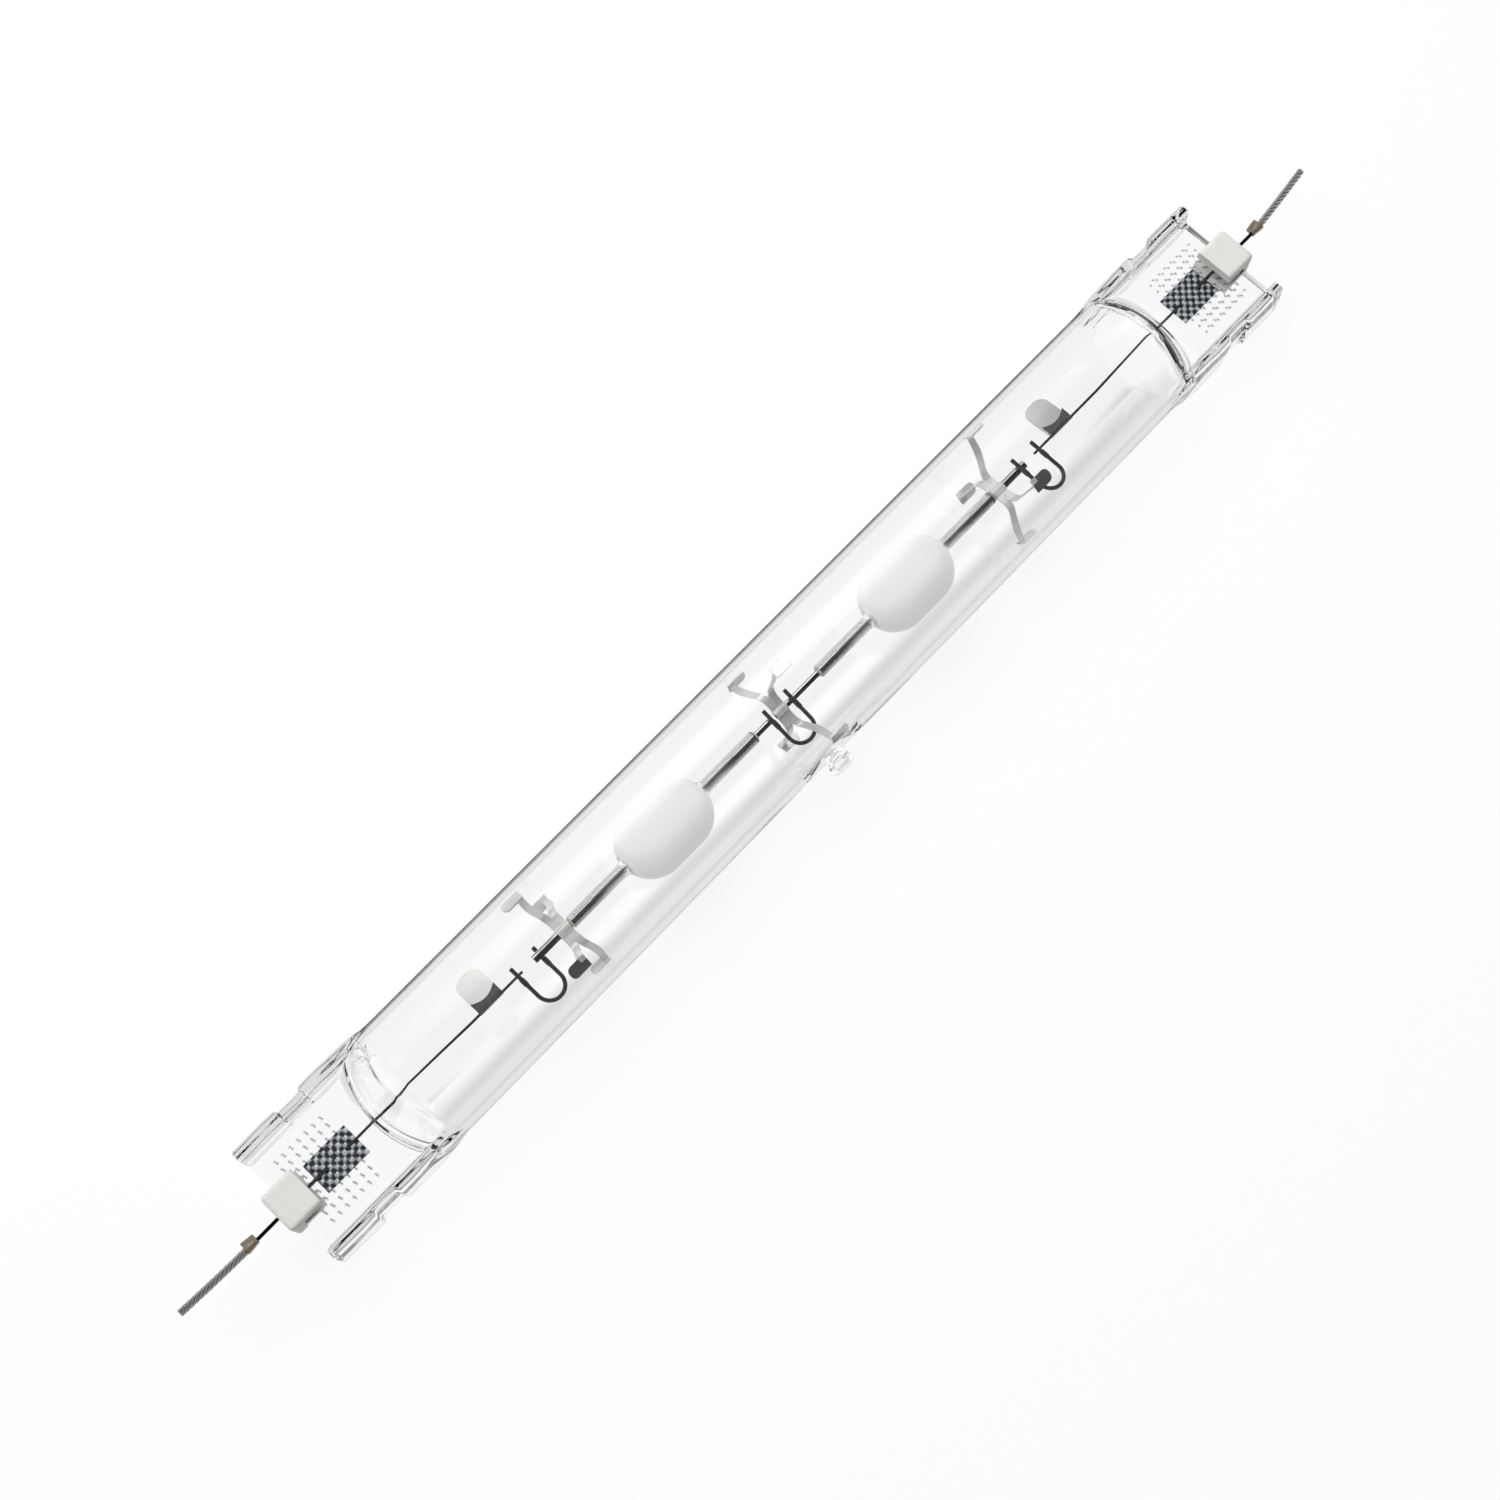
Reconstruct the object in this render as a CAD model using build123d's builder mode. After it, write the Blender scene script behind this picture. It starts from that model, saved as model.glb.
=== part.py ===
from build123d import *
from math import cos, radians, sin, sqrt
import os

# Double-ended ceramic metal halide lamp, in millimetres.
# The lamp axis is X, the pressed ends lie flat in XY and the exhaust tip points along -Y.

# Quartz tube
tube_diameter = 31.0
tube_wall = 1.5

# Pressed ends
glass_length = 300.0
press_length = 29.0
press_width = 31.4
press_thickness = 12.0
web_thickness = 4.5
rib_width = 2.8
rib_round = 0.9
seat_from_end = 14.7
seat_length = 5.6
seat_depth = 0.9
seat_slope = 0.8

# Domes that close the tube, each turned about an upright axis inside the tube
dome_axis_from_end = 49.0
dome_shoulder = 19.5
dome_foot = 23.5
dome_shoulder_round = 6.0
dome_foot_round = 2.9
dome_trim_clearance = 0.5

# Exhaust tip
tip_offset = -1.5
tip_reach = 19.3
tip_base_diameter = 10.4
tip_neck_diameter = 4.6
tip_button_diameter = 5.8
tip_button_height = 2.3
tip_button_round = 0.5

# Foils and lead wires
foil_length = 11.8
foil_width = 8.0
foil_thickness = 0.1
foil_from_end = 7.4
lead_diameter = 0.6
lead_overlap = 3.2
pin_diameter = 0.85
pin_overlap = 3.6
pin_reach = 9.3
weld_flat = 0.1

# Ceramic end blocks
block_length = 8.5
block_width = 9.8
block_height = 9.6
block_slot_depth = 5.4
block_slot_clearance = 0.1
block_pin_clearance = 0.05
block_round = 1.0

# Crimped joints and stranded leads
crimp_length = 3.0
crimp_wall = 0.35
crimp_tab_height = 0.9
crimp_clearance = 0.03
joint_gap = 0.15
stranded_diameter = 1.7
stranded_length = 18.0
crimped_diameter = 1.36
stranded_tilt = {"left": 1.0, "right": 5.5}

# Arc tubes, with a gap between the inner ends of their legs
leg_gap = 20.8
arc_barrel_diameter = 16.4
arc_barrel_straight = 8.0
arc_wall = 1.1
leg_diameter = 3.1
leg_bore = 1.5
leg_reach = 28.5
leg_root_round = 1.6

# Feedthroughs, electrodes and frit seals
feed_clearance = 0.02
feed_depth = 6.7
outer_feed_diameter = 1.95
outer_feed_reach = 11.3
left_inner_feed_reach = 5.8
inner_feed_gap = 0.8
electrode_diameter = 0.75
electrode_reach = 5.5
electrode_coil_diameter = 1.3
electrode_coil_length = 3.0
frit_length = 0.5
frit_rim = 0.25

# Flexible links
link_diameter = 0.95
link_stub = 2.4
link_drop = 9.4
link_tilt = 17.0
weld_gap = 0.02
outer_link_span = 6.6
outer_link_setback = 1.8
middle_link_span = 6.7
middle_link_setback = 0.6
lead_stub = 1.3

# Spring supports
support_width = 3.4
support_sheet = 0.3
support_wing = 5.0
support_arm_width = 1.5
support_arm_start = 0.9
support_arm_splay = 2.6
support_tab_length = 5.0
support_tab_width = 3.2
support_tab_round = 1.3
support_gap = 0.1
support_set = 0.1
support_turn = {"left": 0.0, "middle": 28.0, "right": -12.0}

# Getters
getter_from_link = 8.0
getter_length = 6.8
getter_sheet = 0.2
getter_leaf = 9.2
getter_fold = 2.9
getter_round = 2.6
getter_notch = 1.8

# Sizes that follow
tube_radius = tube_diameter / 2
bore_radius = tube_radius - tube_wall
glass_end = glass_length / 2
dome_axis = glass_end - dome_axis_from_end
press_start = glass_end - press_length
foil_outer = glass_end - foil_from_end
foil_inner = foil_outer - foil_length
foil_top = weld_flat - lead_diameter / 2
pin_height = foil_top + pin_diameter / 2 - weld_flat
pin_end = glass_end + pin_reach + crimp_length / 2
barrel_radius = arc_barrel_diameter / 2
leg_radius = leg_diameter / 2
feed_diameter = leg_bore - 2 * feed_clearance
arc_center = leg_gap / 2 + leg_reach
left_inner_feed_end = left_inner_feed_reach - leg_gap / 2
right_inner_feed_end = left_inner_feed_end + inner_feed_gap
right_inner_feed_reach = leg_gap / 2 - right_inner_feed_end
middle_link_near = left_inner_feed_end - middle_link_setback
outer_feed_end = arc_center + leg_reach + outer_feed_reach
outer_link_near = outer_feed_end - outer_link_setback
outer_link_far = outer_link_near + outer_link_span
lead_end = outer_link_far - lead_stub
rib_outer = press_width / 2
rib_inner = rib_outer - rib_width
seat_middle = press_length - seat_from_end
seat_near = seat_middle - seat_length / 2
seat_far = seat_middle + seat_length / 2
tip_root = sqrt(tube_radius**2 - (tip_base_diameter / 2) ** 2)
tip_neck = tip_reach - tip_button_height
sides = {"left": -1, "right": 1}

os.makedirs("parts", exist_ok=True)


def save(piece, name):
    """Label a finished piece and write its file."""
    piece.label = name
    export_step(piece, f"parts/{name}.step")


def outward(sign, distance, height=0.0):
    """Plane across the lamp axis that faces out of the lamp on one side."""
    return Plane((sign * distance, 0, height), x_dir=(0, 1, 0), z_dir=(sign, 0, 0))


def dome_ring(sign, points, rounds):
    """Ring, turned about a dome's upright axis, that trims a round bar to the dome's shape."""
    rim = dome_foot + press_length
    top = tube_diameter
    with BuildPart() as ring:
        with BuildSketch(Plane((sign * dome_axis, 0, 0), x_dir=(sign, 0, 0), z_dir=(0, -sign, 0))):
            with BuildLine():
                trim = FilletPolyline(*points, (rim, points[-1][1]), radius=rounds)
                Polyline(trim @ 1, (rim, top), (points[0][0], top), trim @ 0)
            make_face()
        revolve(axis=Axis((sign * dome_axis, 0, 0), (0, 0, 1)))
    return ring.part


# Outer envelope: a drawn tube, domed and pressed flat at both ends, with a sealed exhaust tip
wall_shift = tube_wall * sqrt(1 + ((dome_foot - dome_shoulder) / tube_radius) ** 2)
outer_dome = [
    (0, tube_radius + dome_trim_clearance),
    (dome_shoulder, tube_radius + dome_trim_clearance),
    (dome_foot, web_thickness / 2),
]
inner_dome = [
    (0, bore_radius + dome_trim_clearance),
    (dome_shoulder - wall_shift, bore_radius + dome_trim_clearance),
    (dome_foot - wall_shift, 0),
]

inner_trims = []
outer_trims = []
for sign in sides.values():
    inner_ring = dome_ring(sign, inner_dome, [dome_shoulder_round - tube_wall, 0])
    outer_ring = dome_ring(sign, outer_dome, [dome_shoulder_round, dome_foot_round])
    inner_trims += [inner_ring, mirror(inner_ring, about=Plane.XY)]
    outer_trims += [outer_ring, mirror(outer_ring, about=Plane.XY)]

with BuildPart() as cavity:
    for sign in sides.values():
        with BuildSketch(outward(sign, dome_axis)):
            Circle(bore_radius)
        extrude(amount=dome_foot)
    add(inner_trims, mode=Mode.SUBTRACT)
    with BuildSketch(Plane.YZ):
        Circle(bore_radius)
    extrude(amount=dome_axis, both=True)

with BuildPart() as outer_envelope:
    for sign in sides.values():
        with BuildSketch(outward(sign, dome_axis)):
            Circle(tube_radius)
        extrude(amount=dome_foot + dome_foot_round)
    add(outer_trims, mode=Mode.SUBTRACT)
    with BuildSketch(Plane.YZ):
        Circle(tube_radius)
    extrude(amount=dome_axis, both=True)

    # Pressed web with a thick rib along both edges, each rib notched in the middle for the holder
    for sign in sides.values():
        web_plane = Plane((sign * press_start, 0, 0), x_dir=(sign, 0, 0), z_dir=(0, 0, sign))
        with BuildSketch(web_plane):
            Rectangle(press_length, press_width - 2 * rib_width, align=(Align.MIN, Align.CENTER))
        extrude(amount=web_thickness / 2, both=True)
        with BuildSketch(web_plane):
            with BuildLine():
                rib = FilletPolyline(
                    (0, rib_inner),
                    (press_length, rib_inner),
                    (press_length, rib_outer),
                    (seat_far + seat_slope, rib_outer),
                    (seat_far, rib_outer - seat_depth),
                    (seat_near, rib_outer - seat_depth),
                    (seat_near - seat_slope, rib_outer),
                    (0, rib_outer),
                    radius=[rib_round] * 6,
                )
                Line(rib @ 1, rib @ 0)
            make_face()
            mirror(about=Plane.XZ)
        extrude(amount=press_thickness / 2, both=True)

    # Exhaust tip: a flared root, a neck and a flat button
    with BuildSketch(Plane.XY):
        with BuildLine():
            root = Line((tip_offset, -tip_root), (tip_offset + tip_base_diameter / 2, -tip_root))
            flare = TangentArc(
                root @ 1, (tip_offset + tip_neck_diameter / 2, -tip_neck), tangent=(-1, 0)
            )
            button = FilletPolyline(
                flare @ 1,
                (tip_offset + tip_button_diameter / 2, -tip_neck),
                (tip_offset + tip_button_diameter / 2, -tip_reach),
                (tip_offset, -tip_reach),
                radius=tip_button_round,
            )
            Line(button @ 1, root @ 0)
        make_face()
    revolve(axis=Axis((tip_offset, 0, 0), (0, 1, 0)))

    add(cavity.part, mode=Mode.SUBTRACT)

    # Seats pressed round the foils and the wires that are welded to them
    for sign in sides.values():
        with BuildSketch(outward(sign, foil_inner, foil_top - foil_thickness / 2)):
            Rectangle(foil_width, foil_thickness)
        extrude(amount=foil_length, mode=Mode.SUBTRACT)
        with BuildSketch(outward(sign, dome_axis)):
            Circle(lead_diameter / 2)
        extrude(amount=foil_inner + lead_overlap - dome_axis, mode=Mode.SUBTRACT)
        with BuildSketch(outward(sign, foil_outer - pin_overlap, pin_height)):
            Circle(pin_diameter / 2)
        extrude(amount=press_length, mode=Mode.SUBTRACT)
save(outer_envelope.part, "outer_envelope")

# Foils sealed in the webs, with an inner lead and an outer pin flattened and welded on top
for side, sign in sides.items():
    with BuildPart() as foil:
        with BuildSketch(outward(sign, foil_inner, foil_top - foil_thickness / 2)):
            Rectangle(foil_width, foil_thickness)
        extrude(amount=foil_length)
    save(foil.part, f"foil_{side}")

    with BuildPart() as inner_lead:
        with BuildSketch(outward(sign, lead_end)):
            Circle(lead_diameter / 2)
        extrude(amount=foil_inner + lead_overlap - lead_end)
        add(foil.part, mode=Mode.SUBTRACT)
    save(inner_lead.part, f"inner_lead_{side}")

    with BuildPart() as outer_pin:
        with BuildSketch(outward(sign, foil_outer - pin_overlap, pin_height)):
            Circle(pin_diameter / 2)
        extrude(amount=pin_end - joint_gap - foil_outer + pin_overlap)
        add(foil.part, mode=Mode.SUBTRACT)
    save(outer_pin.part, f"outer_pin_{side}")

# Ceramic blocks, slotted to straddle the webs and bored for the pins
block_start = glass_end - block_slot_depth
for side, sign in sides.items():
    with BuildPart() as end_block:
        with BuildSketch(outward(sign, block_start)):
            RectangleRounded(block_width, block_height, block_round)
        extrude(amount=block_length)
        fillet(end_block.faces().sort_by(Axis.X)[-1 if sign > 0 else 0].edges(), block_round)
        with BuildSketch(outward(sign, block_start)):
            Rectangle(block_width, web_thickness + 2 * block_slot_clearance)
        extrude(amount=block_slot_depth, mode=Mode.SUBTRACT)
        with BuildSketch(outward(sign, glass_end, pin_height)):
            Circle(pin_diameter / 2 + block_pin_clearance)
        extrude(amount=block_length, mode=Mode.SUBTRACT)
    save(end_block.part, f"end_block_{side}")

# Folded crimps that join the pins to the squeezed ends of the stranded leads
for side, sign in sides.items():
    tilt = radians(stranded_tilt[side])
    lead_axis = (sign * cos(tilt), sin(tilt), 0)
    lead_side = (-sign * sin(tilt), cos(tilt), 0)
    pin_plane = outward(sign, pin_end - crimp_length / 2, pin_height)
    lead_plane = Plane((sign * pin_end, 0, pin_height), x_dir=lead_side, z_dir=lead_axis)
    pin_bore = pin_diameter / 2 + crimp_clearance
    lead_bore = crimped_diameter / 2 + crimp_clearance
    with BuildPart() as crimp:
        for plane, bore in ((pin_plane, pin_bore), (lead_plane, lead_bore)):
            with BuildSketch(plane):
                Circle(bore + crimp_wall)
                with Locations((bore + crimp_wall / 2, 0)):
                    Rectangle(
                        crimp_tab_height + crimp_wall,
                        2 * crimp_wall,
                        align=(Align.MIN, Align.CENTER),
                    )
            extrude(amount=crimp_length / 2)
        for plane, bore in ((pin_plane, pin_bore), (lead_plane, lead_bore)):
            with BuildSketch(plane):
                Circle(bore)
            extrude(amount=crimp_length / 2, mode=Mode.SUBTRACT)
    save(crimp.part, f"crimp_{side}")

    with BuildPart() as stranded_lead:
        with BuildSketch(lead_plane.offset(joint_gap)):
            Circle(crimped_diameter / 2)
        extrude(amount=crimp_length / 2 - joint_gap)
        with BuildSketch(lead_plane.offset(crimp_length / 2)):
            Circle(stranded_diameter / 2)
        extrude(amount=stranded_length)
    save(stranded_lead.part, f"stranded_lead_{side}")

# Arc tubes: a barrel with round ends that flow into two capillary legs
root_reach = sqrt((barrel_radius + leg_root_round) ** 2 - (leg_radius + leg_root_round) ** 2)
root_contact = barrel_radius / (barrel_radius + leg_root_round)
barrel_half = arc_barrel_straight / 2
chamber_radius = barrel_radius - arc_wall
for side, sign in sides.items():
    with BuildPart() as arc_tube:
        with BuildSketch(Plane((sign * arc_center, 0, 0), x_dir=(1, 0, 0), z_dir=(0, -1, 0))):
            with BuildLine():
                leg = Line((leg_reach, 0), (leg_reach, leg_radius))
                leg_top = Line(leg @ 1, (barrel_half + root_reach, leg_radius))
                root = RadiusArc(
                    leg_top @ 1,
                    (barrel_half + root_reach * root_contact, (leg_radius + leg_root_round) * root_contact),
                    leg_root_round,
                )
                shoulder = RadiusArc(root @ 1, (barrel_half, barrel_radius), -barrel_radius)
                middle = Line(shoulder @ 1, (0, barrel_radius))
                Polyline(middle @ 1, (0, 0), leg @ 0)
            make_face()
            mirror(about=Plane.YZ)
        revolve(axis=Axis((0, 0, 0), (1, 0, 0)))
        with BuildSketch(Plane((sign * arc_center, 0, 0), x_dir=(1, 0, 0), z_dir=(0, -1, 0))):
            with BuildLine():
                roof = Line((0, chamber_radius), (barrel_half, chamber_radius))
                end = RadiusArc(roof @ 1, (barrel_half + chamber_radius, 0), chamber_radius)
                Polyline(end @ 1, (0, 0), roof @ 0)
            make_face()
            mirror(about=Plane.YZ)
        revolve(axis=Axis((0, 0, 0), (1, 0, 0)), mode=Mode.SUBTRACT)
        with BuildSketch(Plane.YZ.offset(sign * arc_center)):
            Circle(leg_bore / 2)
        extrude(amount=leg_reach, both=True, mode=Mode.SUBTRACT)
    save(arc_tube.part, f"arc_tube_{side}")

# Each leg holds a niobium feedthrough, an electrode with a wound tip and a ring of frit
feed_reaches = {
    ("left", "outer"): outer_feed_reach,
    ("left", "inner"): left_inner_feed_reach,
    ("right", "inner"): right_inner_feed_reach,
    ("right", "outer"): outer_feed_reach,
}
chamber_end = barrel_half + chamber_radius
for (side, end), reach in feed_reaches.items():
    direction = sides[side] if end == "outer" else -sides[side]
    leg_plane = Plane((sides[side] * arc_center, 0, 0), x_dir=(0, 1, 0), z_dir=(direction, 0, 0))
    rod_diameter = outer_feed_diameter if end == "outer" else feed_diameter

    with BuildPart() as feedthrough:
        with BuildSketch(leg_plane.offset(leg_reach - feed_depth)):
            Circle(feed_diameter / 2)
        extrude(amount=feed_depth + frit_length)
        with BuildSketch(leg_plane.offset(leg_reach + frit_length)):
            Circle(rod_diameter / 2)
        extrude(amount=reach - frit_length)
    save(feedthrough.part, f"feedthrough_{side}_{end}")

    with BuildPart() as electrode:
        with BuildSketch(leg_plane.offset(chamber_end - electrode_reach)):
            Circle(electrode_diameter / 2)
        extrude(amount=leg_reach - feed_depth - chamber_end + electrode_reach)
        with BuildSketch(leg_plane.offset(chamber_end - electrode_reach + electrode_diameter)):
            Circle(electrode_coil_diameter / 2)
        extrude(amount=electrode_coil_length)
    save(electrode.part, f"electrode_{side}_{end}")

    with BuildPart() as frit:
        with BuildSketch(leg_plane.offset(leg_reach)):
            Circle(leg_radius)
        with BuildSketch(leg_plane.offset(leg_reach + frit_length)):
            Circle(feed_diameter / 2 + frit_rim)
        loft()
        with BuildSketch(leg_plane.offset(leg_reach)):
            Circle(feed_diameter / 2)
        extrude(amount=frit_length, mode=Mode.SUBTRACT)
    save(frit.part, f"frit_{side}_{end}")


def flex_link(near_point, far_point, tilt, name):
    """Wire bent to a U in a plane through two weld points, with short stubs above the welds."""
    span = (far_point - near_point).length
    bend = span / 2
    run = (far_point - near_point).normalized()
    down = Vector(0, -1, 0).rotate(Axis.X, tilt)
    bend_plane = Plane(near_point, x_dir=run, z_dir=run.cross(-down))
    with BuildPart() as link:
        with BuildLine(bend_plane):
            Line((0, link_stub), (0, bend - link_drop))
            ThreePointArc((0, bend - link_drop), (bend, -link_drop), (span, bend - link_drop))
            Line((span, bend - link_drop), (span, link_stub))
        with BuildSketch(Plane(near_point - down * link_stub, x_dir=run, z_dir=down)):
            Circle(link_diameter / 2)
        sweep()
    save(link.part, name)


# Flexible links: the outer ones join a lead to a feedthrough, the middle one joins both arc tubes
wire_radius = link_diameter / 2
feed_weld = outer_feed_diameter / 2 + wire_radius + weld_gap
lead_weld = lead_diameter / 2 + wire_radius + weld_gap
for side, sign in sides.items():
    flex_link(
        Vector(sign * outer_link_near, 0, sign * feed_weld),
        Vector(sign * outer_link_far, 0, sign * lead_weld),
        0,
        f"flex_link_{side}",
    )
inner_weld = (feed_diameter / 2 + wire_radius + weld_gap) / cos(radians(link_tilt))
flex_link(
    Vector(middle_link_near, 0, inner_weld),
    Vector(middle_link_near + middle_link_span, 0, inner_weld),
    link_tilt,
    "flex_link_middle",
)


def spring_support(rod_diameter):
    """Sheet metal spring: a sleeve on the rod, two wings, and four arms that end in wall tabs."""
    bore = rod_diameter / 2 + weld_gap
    tab_face = sqrt((bore_radius - support_gap) ** 2 - (support_tab_width / 2) ** 2)
    with BuildPart() as support:
        with BuildSketch(Plane.YZ.offset(-support_width / 2)):
            Circle(bore + support_sheet)
            Rectangle(2 * support_wing, support_sheet)
            Circle(bore, mode=Mode.SUBTRACT)
        extrude(amount=support_width)
        for wing in (-1, 1):
            for end in (-1, 1):
                middle = tab_face - support_sheet / 2
                foot = Vector(0, wing * middle / sqrt(2), end * middle / sqrt(2))
                fold = Vector(0, wing * support_wing, 0)
                climb = (foot - fold).normalized()
                reach = (foot - fold).length
                arm_plane = Plane(fold, x_dir=(1, 0, 0), z_dir=Vector(1, 0, 0).cross(climb))
                near_edge = end * (support_arm_start - support_arm_width / 2)
                far_edge = end * (support_arm_start + support_arm_width / 2)
                lean = end * (support_arm_splay - support_arm_start)
                with BuildSketch(arm_plane):
                    Polygon(
                        (near_edge, 0),
                        (far_edge, 0),
                        (far_edge + lean, reach),
                        (near_edge + lean, reach),
                        align=None,
                    )
                extrude(amount=support_sheet / 2, both=True)
                tab_start = end * support_arm_splay - support_arm_width / 2
                outer_face = foot.normalized() * tab_face
                tab_plane = Plane(outer_face + Vector(tab_start, 0, 0), x_dir=(1, 0, 0), z_dir=foot)
                with BuildSketch(tab_plane) as tab:
                    Rectangle(support_tab_length, support_tab_width, align=(Align.MIN, Align.CENTER))
                    fillet(tab.vertices().group_by(Axis.X)[-1], support_tab_round)
                extrude(amount=-support_sheet)
    return support.part


# Spring supports: the outer tabs point to the lamp's ends, the middle ones to the right
outer_support = arc_center + leg_reach + frit_length + support_set + support_width / 2
middle_support = right_inner_feed_end + support_set + support_width / 2
outer_spring = spring_support(outer_feed_diameter)
middle_spring = spring_support(feed_diameter)
save(Pos(-outer_support, 0, 0) * Rot(support_turn["left"], 0, 180) * outer_spring, "support_left")
save(Pos(middle_support, 0, 0) * Rot(support_turn["middle"], 0, 0) * middle_spring, "support_middle")
save(Pos(outer_support, 0, 0) * Rot(support_turn["right"], 0, 0) * outer_spring, "support_right")

# Getters: a strip folded round the inner lead, with a long rounded leaf and a short notched one
fold_inside = lead_diameter / 2 + weld_gap
fold_outside = fold_inside + getter_sheet
getter_start = outer_link_far + getter_from_link - getter_length / 2
notch_radius = ((getter_length / 2) ** 2 + getter_notch**2) / (2 * getter_notch)
for side, sign in sides.items():
    notch_middle = sign * (getter_start + getter_length / 2)
    with BuildPart() as getter:
        with BuildSketch(outward(sign, getter_start)):
            Circle(fold_outside)
            Circle(fold_inside, mode=Mode.SUBTRACT)
            with Locations((fold_outside, 0)):
                Rectangle(2 * fold_outside, 2 * fold_outside, mode=Mode.SUBTRACT)
            with Locations((0, -sign * (fold_inside + getter_sheet / 2))):
                Rectangle(getter_leaf, getter_sheet, align=(Align.MIN, Align.CENTER))
            with Locations((0, sign * (fold_inside + getter_sheet / 2))):
                Rectangle(getter_fold, getter_sheet, align=(Align.MIN, Align.CENTER))
        extrude(amount=getter_length)
        fillet(getter.edges().filter_by(Axis.Z).group_by(Axis.Y)[-1], getter_round)
        with BuildSketch(Plane.XY):
            with Locations((notch_middle, getter_fold - getter_notch + notch_radius)):
                Circle(notch_radius)
        extrude(amount=tube_radius, mode=Mode.SUBTRACT)
    save(getter.part, f"getter_{side}")
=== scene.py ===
import math
from functools import partial

import bmesh
import bpy
import numpy as np
from bpy.props import FloatProperty, FloatVectorProperty, PointerProperty
from mathutils import Matrix, Vector


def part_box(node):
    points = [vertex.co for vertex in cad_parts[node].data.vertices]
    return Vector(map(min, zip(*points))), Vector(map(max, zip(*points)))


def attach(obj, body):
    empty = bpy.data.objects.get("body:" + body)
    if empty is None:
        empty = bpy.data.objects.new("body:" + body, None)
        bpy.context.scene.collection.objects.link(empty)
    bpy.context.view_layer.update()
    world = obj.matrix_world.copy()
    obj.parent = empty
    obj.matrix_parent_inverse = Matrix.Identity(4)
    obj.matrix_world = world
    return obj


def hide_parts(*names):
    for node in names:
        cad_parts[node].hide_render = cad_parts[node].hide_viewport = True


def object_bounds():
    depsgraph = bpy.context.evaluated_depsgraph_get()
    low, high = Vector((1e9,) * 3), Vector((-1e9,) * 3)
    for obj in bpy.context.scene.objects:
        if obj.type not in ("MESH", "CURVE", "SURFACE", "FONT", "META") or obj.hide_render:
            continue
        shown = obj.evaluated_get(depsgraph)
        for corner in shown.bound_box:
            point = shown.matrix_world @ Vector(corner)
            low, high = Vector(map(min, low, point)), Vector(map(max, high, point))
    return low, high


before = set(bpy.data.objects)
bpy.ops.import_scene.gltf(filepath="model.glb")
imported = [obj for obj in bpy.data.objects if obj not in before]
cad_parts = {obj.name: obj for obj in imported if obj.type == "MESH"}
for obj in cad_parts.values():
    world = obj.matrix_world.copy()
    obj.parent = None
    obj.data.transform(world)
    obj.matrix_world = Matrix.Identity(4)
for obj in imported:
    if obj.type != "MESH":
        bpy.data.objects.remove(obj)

bl_info = {
    "name": "Double-ended arc lamp",
    "version": (1, 0, 0),
    "blender": (4, 5, 0),
    "location": "View3D > Sidebar > Lamp",
    "description": "Dresses the solids of a clear tube lamp with two ceramic arc tubes",
    "category": "Object",
}

MM = 0.001
SIDES = {"left": -1, "right": 1}
ROOT = "root"
MIRROR = np.array([-1, 1, 1])
SAME_POINT = 1e-7
EVEN, DRAWN = (1.0, 1.0, 1.0), (0.12, 1.0, 1.0)
# Painted shade that darkens one foot on the near side of each outer spring
FOOT_PAINTED_SHADE = 0.9

cad_box = [list(corner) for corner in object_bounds()]
glass_low, glass_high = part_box("outer_envelope")
foil_low, foil_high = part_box("foil_right")
crimp_low, crimp_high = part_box("crimp_right")
link_low, link_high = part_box("flex_link_right")
middle_link_low, middle_link_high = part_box("flex_link_middle")
getter_low, getter_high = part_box("getter_right")
arc_low, arc_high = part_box("arc_tube_right")
rod_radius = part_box("feedthrough_right_outer")[1].z
inner_rod_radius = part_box("feedthrough_left_inner")[1].z
inner_lead_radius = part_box("inner_lead_right")[1].z


def length(name, description, default):
    """A length in metres that a user may change."""
    return FloatProperty(name=name, description=description, default=default, unit="LENGTH", precision=5)


def plain(name, description, default):
    """A bare number that a user may change."""
    return FloatProperty(name=name, description=description, default=default)


def angle(name, description, default):
    """An angle that a user may change, given in degrees and kept in radians."""
    return FloatProperty(name=name, description=description, default=math.radians(default), subtype="ANGLE")


def power(name, description, default):
    """A lamp's power in watts that a user may change."""
    return FloatProperty(name=name, description=description, default=default, unit="POWER")


def colour(name, description, default):
    """A colour that a user may change, in linear red, green and blue."""
    return FloatVectorProperty(
        name=name, description=description, default=default, subtype="COLOR", size=3, min=0.0, max=1.0
    )


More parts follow.
